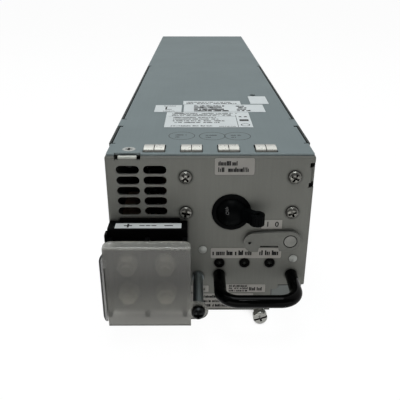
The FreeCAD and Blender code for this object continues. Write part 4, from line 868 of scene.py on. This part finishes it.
def white_surface(name):
    """Floor that looks white to the camera, in reflections and through glass, where a little of its
    light comes from the lamps so that the shadow stays; to other rays it is plain pale grey. From
    below it can't be seen, so that the underside can be looked at."""
    material, tree, output = empty_material(name)
    link = tree.links.new
    seen = seen_rays(tree, tree.nodes.new("ShaderNodeLightPath"))
    open_sky = tree.nodes.new("ShaderNodeAmbientOcclusion")
    open_sky.samples = SKY_SAMPLES
    open_sky.inputs["Distance"].default_value = SHADOW_REACH
    glow = tree.nodes.new("ShaderNodeEmission")
    link(remap(tree, open_sky.outputs["AO"], *SHADOW_SKY, SHADOW_TONE * FLOOR_GLOW, FLOOR_GLOW),
         glow.inputs["Strength"])
    lit = tree.nodes.new("ShaderNodeBsdfDiffuse")
    lit.inputs["Color"].default_value = FLOOR_LIT
    both = tree.nodes.new("ShaderNodeAddShader")
    plain = tree.nodes.new("ShaderNodeBsdfDiffuse")
    plain.inputs["Color"].default_value = FLOOR_GREY
    choose = tree.nodes.new("ShaderNodeMixShader")
    side = tree.nodes.new("ShaderNodeNewGeometry")
    clear = tree.nodes.new("ShaderNodeBsdfTransparent")
    one_sided = tree.nodes.new("ShaderNodeMixShader")
    link(glow.outputs["Emission"], both.inputs[0])
    link(lit.outputs["BSDF"], both.inputs[1])
    link(seen, choose.inputs["Fac"])
    link(plain.outputs["BSDF"], choose.inputs[1])
    link(both.outputs["Shader"], choose.inputs[2])
    link(side.outputs["Backfacing"], one_sided.inputs["Fac"])
    link(choose.outputs["Shader"], one_sided.inputs[1])
    link(clear.outputs["BSDF"], one_sided.inputs[2])
    link(one_sided.outputs["Shader"], output.inputs["Surface"])
    return material


def white_sky():
    """World that looks white to the camera and through glass, is dimmer in reflections of what lies in
    front of the part, and gives the part a little grey light."""
    world = bpy.data.worlds.new("studio")
    bpy.context.scene.world = world
    world.use_nodes = True
    tree = world.node_tree
    tree.nodes.clear()
    output = tree.nodes.new("ShaderNodeOutputWorld")
    path = tree.nodes.new("ShaderNodeLightPath")
    light = tree.nodes.new("ShaderNodeBackground")
    light.inputs["Color"].default_value = SKY_GREY
    white = tree.nodes.new("ShaderNodeBackground")
    white.inputs["Color"].default_value = SKY_WHITE
    way = tree.nodes.new("ShaderNodeTexCoord").outputs["Generated"]
    dim = remap(tree, coordinates(tree, way)["Y"], *SKY_DIM_WAYS, *SKY_DIM_TONES)
    straight = largest(tree, path.outputs["Is Camera Ray"], path.outputs["Is Transmission Ray"])
    choose = tree.nodes.new("ShaderNodeMixShader")
    link = tree.links.new
    link(largest(tree, dim, straight), white.inputs["Strength"])
    link(seen_rays(tree, path), choose.inputs["Fac"])
    link(light.outputs["Background"], choose.inputs[1])
    link(white.outputs["Background"], choose.inputs[2])
    link(choose.outputs["Shader"], output.inputs["Surface"])


def soft_box(name, place, aim, size, power, colour):
    """Square lamp of a given width that faces a point."""
    lamp = bpy.data.lights.new(name, "AREA")
    lamp.size = size
    lamp.energy = power
    lamp.color = colour
    holder = bpy.data.objects.new(name, lamp)
    bpy.context.scene.collection.objects.link(holder)
    holder.location = place
    toward = np.array(aim) - np.array(place)
    level = math.hypot(toward[0], toward[1])
    holder.rotation_euler = (math.atan2(level, -toward[2]), 0.0, math.atan2(-toward[0], toward[1]))


floor_corners = [(x * FLOOR_HALF, y * FLOOR_HALF, FLOOR_RISE)
                 for x, y in ((-1, -1), (1, -1), (1, 1), (-1, 1))]
floor_mesh = bpy.data.meshes.new("studio_floor")
floor_mesh.from_pydata(floor_corners, [], [(0, 1, 2, 3)])
floor_mesh.materials.append(white_surface("studio_floor"))
floor = bpy.data.objects.new("studio_floor", floor_mesh)
bpy.context.scene.collection.objects.link(floor)

white_sky()
for lamp_name, lamp_values in LAMPS.items():
    soft_box(lamp_name, *lamp_values)

camera_data = bpy.data.cameras.new("camera")
camera_data.sensor_width = FILM_WIDTH
camera_data.lens = LENS
camera_data.clip_start = NEAREST
camera = bpy.data.objects.new("camera", camera_data)
bpy.context.scene.collection.objects.link(camera)
camera.location = CAMERA_PLACE
camera.rotation_euler = (math.radians(90 - CAMERA_DOWN), math.radians(CAMERA_ROLL),
                         math.radians(CAMERA_ASIDE))
bpy.context.scene.camera = camera
bpy.context.scene.view_settings.view_transform = "Standard"
